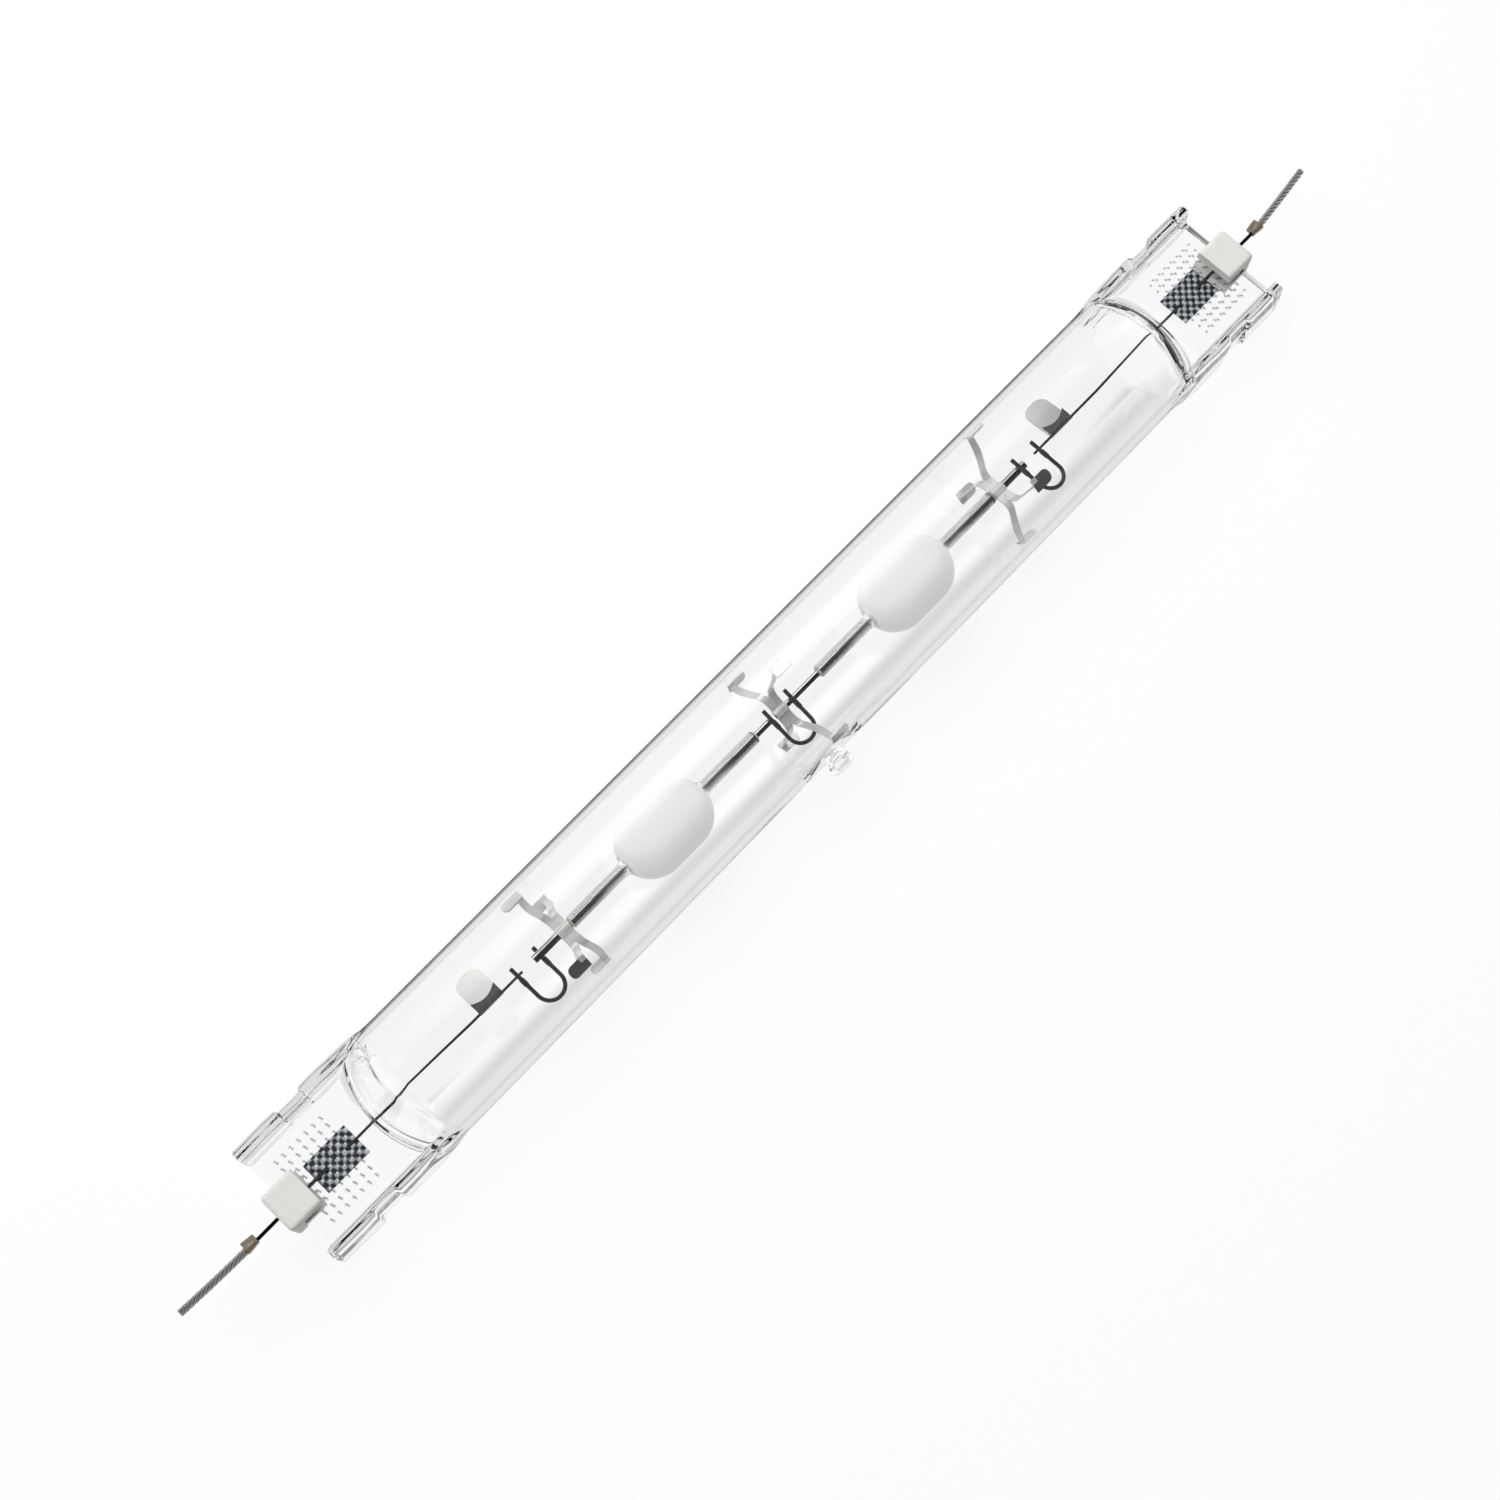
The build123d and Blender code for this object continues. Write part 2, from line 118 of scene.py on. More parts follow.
class GlassSizes(bpy.types.PropertyGroup):
    """Sizes of the quartz tube, its pressed ends and its sealed tip."""

    tube_radius: length("Tube radius", "Outside of the round tube", glass_high.z)
    tube_wall: length("Tube wall", "Thickness of the tube", 1.5 * MM)
    end: length("Half length", "Middle of the tube to the end of a press", glass_high.x)
    press_half: length("Half press width", "Middle of the press to the side of a rib", glass_high.y)
    rib_height: length("Half rib height", "Middle of the press to the top of a rib", 6.0 * MM)
    rib_width: length("Rib width", "Thickness of the rib along each edge of a press", 2.8 * MM)
    rib_round: length("Rib rounding", "Round along the edges of a rib", 0.9 * MM)
    rib_foot: length("Rib foot", "Hollow round where a rib meets the web", 0.8 * MM)
    rib_overhang: length("Rib overhang", "How far a rib stands past the web's end", 0.7 * MM)
    rib_lumps: length("Rib lumps", "Height of the molten waves on a rib", 0.07 * MM)
    web_half: length("Half web", "Half the thickness of the pressed web", 2.25 * MM)
    end_round: length("End rounding", "Fire-polished round on the end of a press", 0.55 * MM)
    seat_from_end: length("Seat from end", "End of the press to the middle of a seat", 14.7 * MM)
    seat_length: length("Seat length", "Flat floor of the notch in a rib", 5.6 * MM)
    seat_depth: length("Seat depth", "Depth of the notch in a rib", 0.9 * MM)
    seat_slope: length("Seat slope", "Length of each sloping side of a notch", 0.8 * MM)
    dome_from_end: length("Dome axis", "End of the press to the upright axis of the dome", 49.0 * MM)
    dome_shoulder: length("Dome shoulder", "Radius where the dome starts down", 17.2 * MM)
    dome_foot: length("Dome foot", "Radius where the dome meets the web", 24.2 * MM)
    shoulder_round: length("Shoulder rounding", "Round at the top of the dome", 6.0 * MM)
    foot_round: length("Foot rounding", "Hollow round at the foot of the dome", 5.0 * MM)
    bore_end: length("Bore end", "Dome's upright axis to the end of the hollow", 24.6 * MM)
    bore_round: length("Bore rounding", "Round at the end of the hollow", 1.3 * MM)
    tip_offset: length("Tip offset", "Sealed tip from the middle of the tube", -1.5 * MM)
    tip_reach: length("Tip reach", "Tube axis to the top of the sealed tip", -glass_low.y)
    tip_root: length("Tip root", "Radius where the tip flares into the tube", 5.2 * MM)
    tip_neck: length("Tip neck", "Radius of the drawn neck", 2.3 * MM)
    tip_button: length("Tip button", "Radius of the melted button", 2.9 * MM)
    tip_button_height: length("Button height", "Height of the melted button", 2.3 * MM)
    dimple_pitch: length("Dimple pitch", "Distance between dimples", 2.12 * MM)
    dimple_radius: length("Dimple radius", "Radius of a dimple in the web", 0.38 * MM)
    dimple_depth: length("Dimple depth", "Depth of a dimple in the web", 0.2 * MM)
    dimple_reach: length("Dimple reach", "Half width of the field of dimples", 10.2 * MM)
    dimple_start: length("Dimple start", "End of the press to the inner edge of the field", 19.0 * MM)
    dimple_stop: length("Dimple stop", "End of the press to the outer edge of the field", 2.04 * MM)


class WireSizes(bpy.types.PropertyGroup):
    """Sizes of the foils, the stranded leads and the crimps."""

    foil_wave: length("Foil wave", "Height of the waves pressed into a foil", 0.1 * MM)
    foil_pitch: length("Foil pitch", "Distance between the waves of a foil", 2.12 * MM)
    foil_half: length("Half foil", "Half the thickness of a foil", 0.04 * MM)
    lead_radius: length("Lead radius", "Outside of a stranded lead", 0.85 * MM)
    lead_start: length("Lead start", "Joint to where the strands come out of the crimp", 1.45 * MM)
    lead_length: length("Lead length", "Bare length of a stranded lead", 18.05 * MM)
    lead_pitch: length("Lead pitch", "Length of one turn of the strands", 7.5 * MM)
    lead_bow: length("Lead bow", "How far the free lead bends aside", 0.35 * MM)
    crimp_sheet: length("Crimp sheet", "Thickness of a crimp's strip", 0.35 * MM)
    crimp_pin: length("Crimp on pin", "Outside of a crimp round the pin", 0.805 * MM)
    crimp_lead: length("Crimp on lead", "Outside of a crimp round the lead", 1.06 * MM)
    crimp_tongue: length("Crimp tongue", "How far the pressed ends of the strip stand off", 1.075 * MM)
    crimp_root: length("Crimp root", "Half the gap where the strip leaves the wires", 0.45 * MM)
    left_tilt: angle("Left tilt", "Turn of the left lead off the tube's axis", 1.0)
    right_tilt: angle("Right tilt", "Turn of the right lead off the tube's axis", 5.5)


class ChainSizes(bpy.types.PropertyGroup):
    """Sizes of the links, springs and getters in the chain that hangs in the tube."""

    link_radius: length("Link radius", "Half the thickness of a link's wire", 0.475 * MM)
    link_stub: length("Link stub", "Link's end past its weld", 2.4 * MM)
    link_drop: length("Link drop", "Weld to the bottom of a link's bend", 9.4 * MM)
    link_tilt: angle("Link tilt", "Turn of the middle link about the tube's axis", 17.0)
    weld_gap: length("Weld gap", "Air between two welded wires", 0.02 * MM)
    sleeve_radius: length("Sleeve radius", "Outside of the sleeve on a link below its weld", 0.62 * MM)
    sleeve_start: length("Sleeve start", "Weld to the near end of a sleeve", 0.8 * MM)
    sleeve_length: length("Sleeve length", "Length of a sleeve", 2.0 * MM)
    spring_place: length("Spring place", "Middle of the tube to the clip of an outer spring", 69.7 * MM)
    spring_middle: length("Middle spring place", "Middle of the tube to the middle clip", -2.0 * MM)
    spring_width: length("Spring width", "Width of a spring's clip", 3.4 * MM)
    spring_sheet: length("Spring sheet", "Thickness of a spring", 0.3 * MM)
    spring_wing: length("Spring wing", "Tube's axis to the fold of an arm", 5.0 * MM)
    spring_arm: length("Spring arm", "Width of an arm", 1.5 * MM)
    spring_splay: length("Spring splay", "Clip's middle to the middle of an arm's foot", 2.6 * MM)
    spring_foot: length("Spring foot", "Tube's axis to the sheet of a foot", 13.66 * MM)
    tab_length: length("Tab length", "Length of a foot along the tube", 5.0 * MM)
    tab_half: length("Half tab", "Half the width of a foot", 1.6 * MM)
    tab_round: length("Tab rounding", "Round on the free end of a foot", 1.3 * MM)
    left_turn: angle("Left turn", "Turn of the left spring about the tube's axis", 0.0)
    middle_turn: angle("Middle turn", "Turn of the middle spring about the tube's axis", 28.0)
    right_turn: angle("Right turn", "Turn of the right spring about the tube's axis", -12.0)
    getter_sheet: length("Getter sheet", "Thickness of a getter", 0.2 * MM)
    getter_fold: length("Getter fold", "Lead to the edge of the short leaf", 2.9 * MM)
    getter_notch: length("Getter notch", "Depth of the hollow in the short leaf's edge", 1.2 * MM)
    getter_round: length("Getter rounding", "Round on the long leaf's corners", 2.6 * MM)
    getter_lean: angle("Getter lean", "Slope of the long leaf away from the camera's side", 9.6)


class FinishColours(bpy.types.PropertyGroup):
    """Colours of the lamp's materials."""

    ceramic: colour("Block ceramic", "Matte end blocks", (0.70, 0.69, 0.665))
    alumina: colour("Alumina", "Translucent arc tubes", (0.93, 0.93, 0.92))
    frit: colour("Frit", "Sealing glass on the legs", (0.62, 0.60, 0.55))
    molybdenum: colour("Molybdenum", "Pins, links and inner leads", (0.06, 0.06, 0.063))
    foil: colour("Foil", "Foils in the presses", (0.37, 0.39, 0.42))
    niobium: colour("Niobium", "Rods out of the arc tubes", (0.24, 0.24, 0.245))
    tungsten: colour("Tungsten", "Electrodes", (0.30, 0.30, 0.31))
    spring: colour("Spring metal", "Sheet supports", (0.84, 0.83, 0.81))
    getter: colour("Getter metal", "Folded getters", (0.76, 0.75, 0.73))
    lead: colour("Lead metal", "Stranded leads", (0.50, 0.49, 0.47))
    crimp: colour("Crimp metal", "Folded crimps", (0.50, 0.41, 0.32))
    floor: colour("Floor", "Pale floor", (0.92, 0.92, 0.92))


class StageSettings(bpy.types.PropertyGroup):
    """Camera and light."""

    azimuth: angle("Azimuth", "Camera's turn about the upright axis", -46.5)
    elevation: angle("Elevation", "Camera's height over the floor", 74.0)
    distance: length("Distance", "Camera to the point it looks at", 491.5 * MM)
    aim_x: length("Aim along", "Point looked at, along the tube", -13.1 * MM)
    aim_y: length("Aim across", "Point looked at, across the tube", -1.36 * MM)
    lens: plain("Lens", "Focal length in millimetres on a 36 mm sensor", 53.8)
    table_edge: angle("Table edge", "End of the white table, off straight down, to the far side", 13.0)
    table_gap: angle("Table gap", "Where the dark strip beside the table ends", 30.0)
    softbox_power: power("Softbox power", "Power of the softbox", 1.5)
    softbox_length: length("Softbox length", "Side of the softbox along the tube", 500.0 * MM)
    softbox_width: length("Softbox width", "Side of the softbox across the tube", 440.0 * MM)
    softbox_away: length("Softbox distance", "Softbox from the tube's axis", 500.0 * MM)
    softbox_shift: length("Softbox shift", "Softbox along the tube from its middle", 100.0 * MM)
    softbox_tilt: angle("Softbox tilt", "Softbox off the upright, to the tube's far side", 43.0)
    fill_power: power("Fill power", "Power of the matte fill", 10.0)
    fill_side: length("Fill side", "Side of the square matte fill", 1000.0 * MM)
    fill_away: length("Fill distance", "Fill from the tube's axis", 1000.0 * MM)
    fill_tilt: angle("Fill tilt", "Fill off the upright, to the tube's far side", 24.0)


def both_ways(operation):
    """The method for an operator on sockets, and the one for its reflected form."""

    def forward(self, other):
        return self.finish.maths(operation, self, other)

    def reflected(self, other):
        return self.finish.maths(operation, other, self)

    return forward, reflected


class Shade:
    """A socket of a finish. Sums, differences, products, quotients and abs on it add Math nodes."""

    def __init__(self, finish, socket):
        self.finish = finish
        self.socket = socket

    __add__, __radd__ = both_ways("ADD")
    __sub__, __rsub__ = both_ways("SUBTRACT")
    __mul__, __rmul__ = both_ways("MULTIPLY")
    __truediv__, __rtruediv__ = both_ways("DIVIDE")

    def __abs__(self):
        return self.finish.maths("ABSOLUTE", self)


class Finish:
    """One node tree and the nodes that make a finish in it."""

    def __init__(self, tree):
        self.tree = tree
        self.tree.nodes.clear()

    def node(self, kind, settings=None, sockets=None, out=0):
        """Adds a node, sets its settings and then its sockets' values or links, and gives one output."""
        made = self.tree.nodes.new(kind)
        for key, value in (settings or {}).items():
            if key == "stops":
                self.stops(made.color_ramp, value)
            else:
                setattr(made, key, value)
        for key, value in (sockets or {}).items():
            if isinstance(value, Shade):
                self.tree.links.new(value.socket, made.inputs[key])
            else:
                made.inputs[key].default_value = value
        if made.outputs:
            return Shade(self, made.outputs[out])
        return made

    def stops(self, ramp, stops):
        """Gives a colour ramp its stops, each a position and a grey level."""
        while len(ramp.elements) < len(stops):
            ramp.elements.new(1.0)
        for element, (position, level) in zip(ramp.elements, stops):
            element.position = position
            element.color = (level, level, level, 1.0)

    def maths(self, operation, first, second=0.0):
        """One Math node on values or sockets."""
        return self.node("ShaderNodeMath", {"operation": operation}, {0: first, 1: second})

    def limit(self, value):
        """The value held between nought and one."""
        return self.node("ShaderNodeClamp", {}, {"Value": value})

    def ramp(self, value, *stops):
        """The value passed through a grey ramp."""
        return self.node("ShaderNodeValToRGB", {"stops": stops}, {"Fac": value})

    def blend(self, factor, first, second):
        """The first colour at factor nought and the second at one."""
        return self.node("ShaderNodeMix", {"data_type": "RGBA"}, {0: factor, 6: first, 7: second}, out=2)

    def axes(self, names, spot=None):
        """The named coordinates of a vector, or of the place on the piece where none is given."""
        if spot is None:
            spot = self.node("ShaderNodeTexCoord", out="Object")
        return [self.node("ShaderNodeSeparateXYZ", {}, {0: spot}, out=name) for name in names]

    def noise(self, size, detail=3.0, stretch=EVEN):
        """Noise on the piece with features of about that size in metres, scaled along each axis."""
        spot = self.node("ShaderNodeTexCoord", out="Object")
        place = self.node("ShaderNodeMapping", {}, {"Vector": spot, "Scale": stretch})
        sockets = {"Vector": place, "Scale": 1.0 / size, "Detail": detail, "Roughness": 0.55}
        return self.node("ShaderNodeTexNoise", {}, sockets, out="Fac")

    def pit(self):
        """How deep a point lies in a dimple or groove, or a foot's painted shade: a mark that paints shade.
        """
        return self.node("ShaderNodeAttribute", {"attribute_name": "pit"}, out="Fac")

    def ray(self, kind):
        """Whether a ray is of that kind, or how often it has bounced in that way."""
        return self.node("ShaderNodeLightPath", out=kind)

    def bump(self, height, depth):
        """A normal that follows the height, given for a depth in metres."""
        return self.node("ShaderNodeBump", {}, {"Height": height, "Distance": depth, "Strength": 1.0})

    def skin(self, sockets):
        """A Principled shader with those values or links."""
        return self.node("ShaderNodeBsdfPrincipled", {}, sockets)

    def clear(self):
        """A shader that every ray goes straight through."""
        return self.node("ShaderNodeBsdfTransparent")

    def mix(self, factor, first, second):
        """The first shader at factor nought and the second at one."""
        return self.node("ShaderNodeMixShader", {}, {0: factor, 1: first, 2: second})

    def surface(self, shader, volume=None):
        """Ends the tree on a material's output."""
        ends = {"Surface": shader}
        if volume:
            ends["Volume"] = volume
        self.node("ShaderNodeOutputMaterial", {}, ends)


def shaded(rgb, share):
    """A colour made lighter or darker by a share, with full alpha."""
    return (*(min(1.0, channel * share) for channel in rgb), 1.0)


def new_finish(name):
    """An empty material with its tree."""
    material = bpy.data.materials.new(f"{name}_finish")
    material.use_nodes = True
    return material, Finish(material.node_tree)


def quartz_finish():
    """Clear fused quartz: smooth and colourless, with a trace of waviness and dimples darkened with painted
    shade. Lamps shine through it."""
    material, finish = new_finish("quartz")
    white, dark = (1.0, 1.0, 1.0, 1.0), (0.05, 0.05, 0.06, 1.0)
    wave = finish.noise(9.0 * MM, 1.0, (0.5, 1.0, 1.0))
    glass = finish.skin(
        {
            # Painted shade: the glass is darker in the dimples of the presses
            "Base Color": finish.blend(finish.limit(1.4 * finish.pit()), white, dark),
            "Roughness": 0.0,
            "IOR": 1.46,
            "Transmission Weight": 1.0,
            "Normal": finish.bump(wave, 0.02 * MM),
        }
    )
    murk = {"Color": (0.80, 0.83, 0.86, 1.0), "Density": 30.0}
    tint = finish.node("ShaderNodeVolumeAbsorption", {}, murk)
    lamplight = finish.ray("Is Shadow Ray") * 0.96
    finish.surface(finish.mix(lamplight, glass, finish.clear()), tint)
    return material


def ceramic_finish(rgb):
    """Matte pressed ceramic: off-white, with fine grain, faint cloudiness and small pores with painted
    shade.
    """
    material, finish = new_finish("block_ceramic")
    grain = finish.noise(0.22 * MM, 4.0)
    cloud = finish.noise(3.5 * MM, 2.0)
    pores = finish.ramp(finish.noise(0.6 * MM, 1.0), (0.64, 0.0), (0.72, 1.0))
    tone = finish.blend(cloud, shaded(rgb, 0.95), shaded(rgb, 1.04))
    looks = {
        # Painted shade: the pores, which are dented, are a little darker
        "Base Color": finish.blend(pores * 0.25, tone, shaded(rgb, 0.72)),
        "Roughness": 0.52 + 0.2 * grain,
        "Specular IOR Level": 0.35,
        "Normal": finish.bump(grain - 0.8 * pores, 0.03 * MM),
    }
    finish.surface(finish.skin(looks))
    return material


def alumina_finish(rgb):
    """Translucent sintered alumina with a fine grain and a soft gloss. It is milky where it is wide, with a
    faint painted glow in place of the light that soaks through it. The thin legs are clear enough to show
    the rod inside, and their near side has painted shade, most of all away from the barrel."""
    material, finish = new_finish("alumina")
    grain = finish.noise(0.16 * MM)
    cloud = finish.noise(5.0 * MM, 2.0)
    along, across, rise = finish.axes("XYZ")
    leg_reach = 4.0 * MM
    wide = finish.ramp((across * across + rise * rise) / leg_reach**2, (0.2, 0.0), (0.7, 1.0))
    tone = finish.blend(cloud, shaded(rgb, 0.97), shaded(rgb, 1.03))
    barrel = finish.skin(
        {
            "Base Color": tone,
            "Roughness": 0.34 + 0.12 * grain,
            "Specular IOR Level": 0.4,
            "Normal": finish.bump(grain, 0.008 * MM),
            # Painted glow: the barrel emits a little of its own colour, in place of light soaking through
            "Emission Color": tone,
            "Emission Strength": 0.22,
        }
    )
    # Painted shade on the near side of the legs, strongest away from the barrel
    near = finish.ramp(0.5 + across / leg_reach, (0.42, 1.0), (0.53, 0.0))
    away = abs(abs(along) - 0.5 * (arc_low.x + arc_high.x)) / (arc_high.x - arc_low.x)
    shade = finish.ramp(away, (0.3, 0.45), (0.36, 0.8)) * near
    leg = finish.skin(
        {
            "Base Color": finish.blend(shade, tone, shaded(rgb, 0.1)),
            "Roughness": 0.0,
            "IOR": 1.4,
            "Transmission Weight": 0.92,
            "Coat Weight": 1.0,
            "Coat Roughness": 0.1,
        }
    )
    finish.surface(finish.mix(wide, leg, barrel))
    return material


def frit_finish(rgb):
    """Fused sealing glass: dull, grey-beige and slightly lumpy."""
    material, finish = new_finish("frit")
    lumps = finish.noise(0.4 * MM, 2.0)
    looks = {
        "Base Color": finish.blend(lumps, shaded(rgb, 0.8), shaded(rgb, 1.1)),
        "Roughness": 0.25 + 0.2 * lumps,
        "Normal": finish.bump(lumps, 0.05 * MM),
    }
    finish.surface(finish.skin(looks))
    return material


def metal_finish(name, rgb, roughness, grain, stretch=EVEN, stain_and_painted_shade=0.25, metallic=1.0, painted_side_light=0.0):
    """Worked metal: fine marks drawn out along one way, a cloudy tarnish and an uneven gloss. It is less
    metallic where a dull skin covers it, and darkened with painted shade where its points keep that mark,
    in the grooves of a lead and on a spring's foot. A straight rod given painted side light has a painted
    highlight on its far side and painted shade on its near one."""
    material, finish = new_finish(name)
    marks = finish.noise(grain * MM, stretch=stretch)
    tarnish = finish.ramp(finish.noise(2.4 * MM), (0.42, 0.0), (0.75, 1.0))
    if painted_side_light:
        # Painted highlight on the far side of a rod and painted shade on its near side
        (across,) = finish.axes("Y")
        side = finish.ramp(0.5 + across / (1.6 * MM), (0.4, 0.0), (0.62, 1.0))
        tone = finish.blend(side, shaded(rgb, 0.2), shaded(rgb, painted_side_light))
    else:
        bright = finish.blend(marks, shaded(rgb, 0.82), shaded(rgb, 1.18))
        tone = finish.blend(tarnish * stain_and_painted_shade, bright, shaded(rgb, 0.45))
    looks = {
        # Painted shade: darker where the points keep that mark, in a lead's grooves and on a spring's foot
        "Base Color": finish.blend(finish.limit(finish.pit()), tone, shaded(rgb, 0.04)),
        "Metallic": metallic,
        "Roughness": finish.limit(roughness + 0.14 * marks + 0.12 * tarnish - 0.07),
        "Normal": finish.bump(marks, 0.004 * MM),
    }
    finish.surface(finish.skin(looks))
    return material


def foil_finish(rgb, pitch):
    """Pressed foil: painted highlights on its raised waves and painted shade in the hollows, a little
    cloudy.
    """
    material, finish = new_finish("foil_metal")
    along, across = finish.axes("XY")
    wave = 2 * math.pi / pitch
    rows = finish.maths("SINE", wave * (abs(along) - foil_low.x))
    columns = finish.maths("SINE", wave * (across - foil_low.y))
    cloud = finish.noise(1.3 * MM)
    # Painted highlights on the raised waves and painted shade in the hollows, following the foil's relief
    painted_relief_light = finish.ramp(0.5 + 0.42 * rows * columns + 0.8 * (cloud - 0.5), (0.36, 0.0), (0.74, 1.0))
    looks = {
        "Base Color": finish.blend(painted_relief_light, shaded(rgb, 0.1), shaded(rgb, 1.5)),
        "Metallic": 1.0,
        "Roughness": 0.2 + 0.2 * cloud,
    }
    finish.surface(finish.skin(looks))
    return material


def finishes(colours):
    """The lamp's materials by name, each made once."""
    foil_pitch = bpy.context.scene.lamp_wires.foil_pitch
    makers = {
        "quartz": quartz_finish,
        "block_ceramic": lambda: ceramic_finish(colours.ceramic),
        "alumina": lambda: alumina_finish(colours.alumina),
        "frit": lambda: frit_finish(colours.frit),
        "foil_metal": lambda: foil_finish(colours.foil, foil_pitch),
    }
    metals = {
        "molybdenum": dict(rgb=colours.molybdenum, roughness=0.1, grain=0.12, stretch=DRAWN),
        # Niobium rods: painted highlight on their far side, painted shade on their near side
        "niobium": dict(rgb=colours.niobium, roughness=0.07, grain=0.14, stretch=DRAWN, painted_side_light=3.4),
        "tungsten": dict(rgb=colours.tungsten, roughness=0.4, grain=0.12, stretch=DRAWN),
        "spring_metal": dict(rgb=colours.spring, roughness=0.3, grain=0.18, stain_and_painted_shade=0.2, metallic=0.4),
        "getter_metal": dict(rgb=colours.getter, roughness=0.06, grain=0.2, stain_and_painted_shade=0.1),
        "lead_metal": dict(rgb=colours.lead, roughness=0.2, grain=0.1, stain_and_painted_shade=0.3, metallic=0.65),
        "crimp_metal": dict(rgb=colours.crimp, roughness=0.16, grain=0.1, metallic=0.7),
    }
    makers |= {name: partial(metal_finish, name, **look) for name, look in metals.items()}
    return {name: bpy.data.materials.get(f"{name}_finish") or make() for name, make in makers.items()}


def smoothstep(value):
    """Nought below nought, one above one, and a smooth rise between."""
    held = np.clip(value, 0.0, 1.0)
    return held * held * (3.0 - 2.0 * held)


def smooth_min(first, second, soft):
    """The lesser of two heights with the crease between them rounded over."""
    return 0.5 * (first + second - np.sqrt((first - second) ** 2 + soft**2))


def circle(count):
    """Even angles round a circle, the last one short of the first."""
    return np.linspace(0, 2 * np.pi, count + 1)[:-1]


def unit(vectors):
    """Vectors of length one along the given ones."""
    return vectors / np.linalg.norm(vectors, axis=-1, keepdims=True)


def heading(path):
    """The way that a path runs at each of its points."""
    return unit(np.gradient(path, axis=0))


def facing(grid):
    """The way that a grid of points faces: square to its rows and its columns."""
    return unit(np.cross(np.gradient(grid, axis=0), np.gradient(grid, axis=1)))


def rounded(corners, radii, steps):
    """A path through corners with an arc of its own radius at each inner one. Each arc turns the vector
    from its centre to its first tangent point into the one to its last, at an even rate."""
    corners = np.asarray(corners, float)
    inner, radius = corners[1:-1], np.asarray(radii, float)[:, None]
    before, after = unit(corners[:-2] - inner), unit(corners[2:] - inner)
    half = 0.5 * np.arccos(np.clip(np.sum(before * after, 1, keepdims=True), -1, 1))
    centre = inner + unit(before + after) * radius / np.sin(half)
    reach = radius / np.tan(half)
    first, last = (inner + way * reach - centre for way in (before, after))
    turn = (np.pi - 2 * half)[:, None]
    share = np.linspace(0, 1, steps + 1)[None, :, None]
    swing = np.sin((1 - share) * turn) * first[:, None] + np.sin(share * turn) * last[:, None]
    arcs = centre[:, None] + swing / np.sin(turn)
    return np.concatenate([corners[:1], arcs.reshape(-1, corners.shape[1]), corners[-1:]])


def evenly(path, count):
    """A path drawn again with points at even steps along its length."""
    steps = np.linalg.norm(np.diff(path, axis=0), axis=1)
    run = np.concatenate([[0.0], np.cumsum(steps)])
    at = np.linspace(0, run[-1], count)
    return np.stack([np.interp(at, run, path[:, k]) for k in range(path.shape[1])], 1)


def quads(rows, columns):
    """Four corners of each face of a grid of points, numbered row by row and wrapped along its columns."""
    row, column = np.meshgrid(np.arange(rows - 1), np.arange(columns), indexing="ij")
    beside = (column + 1) % columns
    corners = [row * columns + column, row * columns + beside]
    corners += [(row + 1) * columns + beside, (row + 1) * columns + column]
    return np.stack(corners, -1).reshape(-1, 4)


def swept_volume(points, faces):
    """Volume inside a closed sheet, less than nought where its faces point inwards."""
    a, b, c, d = (points[faces[:, k]] for k in range(4))
    return np.sum(a * np.cross(b, c)) + np.sum(a * np.cross(c, d))


def build(name, sheets, material, hollow=(), sharp=40.0, painted_shades=None):
    """A piece from closed grids of points, each wrapped along its columns. Faces point out of the material:
    away from the inside of a sheet, or into it for one that lines a hollow. Painted shades, such as the
    depth of dimples, are kept as a value on the first points."""
    points, faces, count = [], [], 0
    for index, sheet in enumerate(sheets):
        spots = sheet.reshape(-1, 3)
        ring = quads(*sheet.shape[:2])
        if (swept_volume(spots - spots.mean(0), ring) < 0) != (index in hollow):
            ring = ring[:, ::-1]
        points.append(spots)
        faces.append(ring + count)
        count += len(spots)
    mesh = bpy.data.meshes.new(name)
    mesh.from_pydata(np.concatenate(points), [], np.concatenate(faces))
    if painted_shades is not None:
        values = np.zeros(count, np.float32)
        values[: painted_shades.size] = painted_shades.ravel()
        mesh.attributes.new("pit", "FLOAT", "POINT").data.foreach_set("value", values)
    shell = bmesh.new()
    shell.from_mesh(mesh)
    bmesh.ops.remove_doubles(shell, verts=shell.verts, dist=SAME_POINT)
    shell.to_mesh(mesh)
    shell.free()
    mesh.shade_smooth()
    mesh.set_sharp_from_angle(angle=math.radians(sharp))
    mesh.materials.append(material)
    piece = bpy.data.objects.new(name, mesh)
    bpy.context.scene.collection.objects.link(piece)
    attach(piece, ROOT)
    return piece


def plate(middle, normal, half):
    """A closed thin sheet: the middle surface moved out by half its thickness to each side, closed at both
    ends."""
    upper, lower = middle + half * normal, middle - half * normal
    loop = np.concatenate([upper, lower[:, ::-1]], 1)
    ends = [np.concatenate([row, row[:, ::-1]], 1) for row in (middle[:1], middle[-1:])]
    return np.concatenate([ends[0], loop, ends[1]])


def pipe(path, radius, first, second, count):
    """A circle of points carried along a path, on two legs that are square to it and to each other."""
    around = circle(count)[None, :, None]
    return path[:, None] + radius * (np.cos(around) * first + np.sin(around) * second)


def finish_node(names, finish):
    """Gives carried-over solids their finish."""
    for name in names:
        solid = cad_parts[name]
        solid.data.materials.clear()
        solid.data.materials.append(finish)


def both(stem):
    """The names of a left and a right piece."""
    return [f"{stem}_{side}" for side in SIDES]


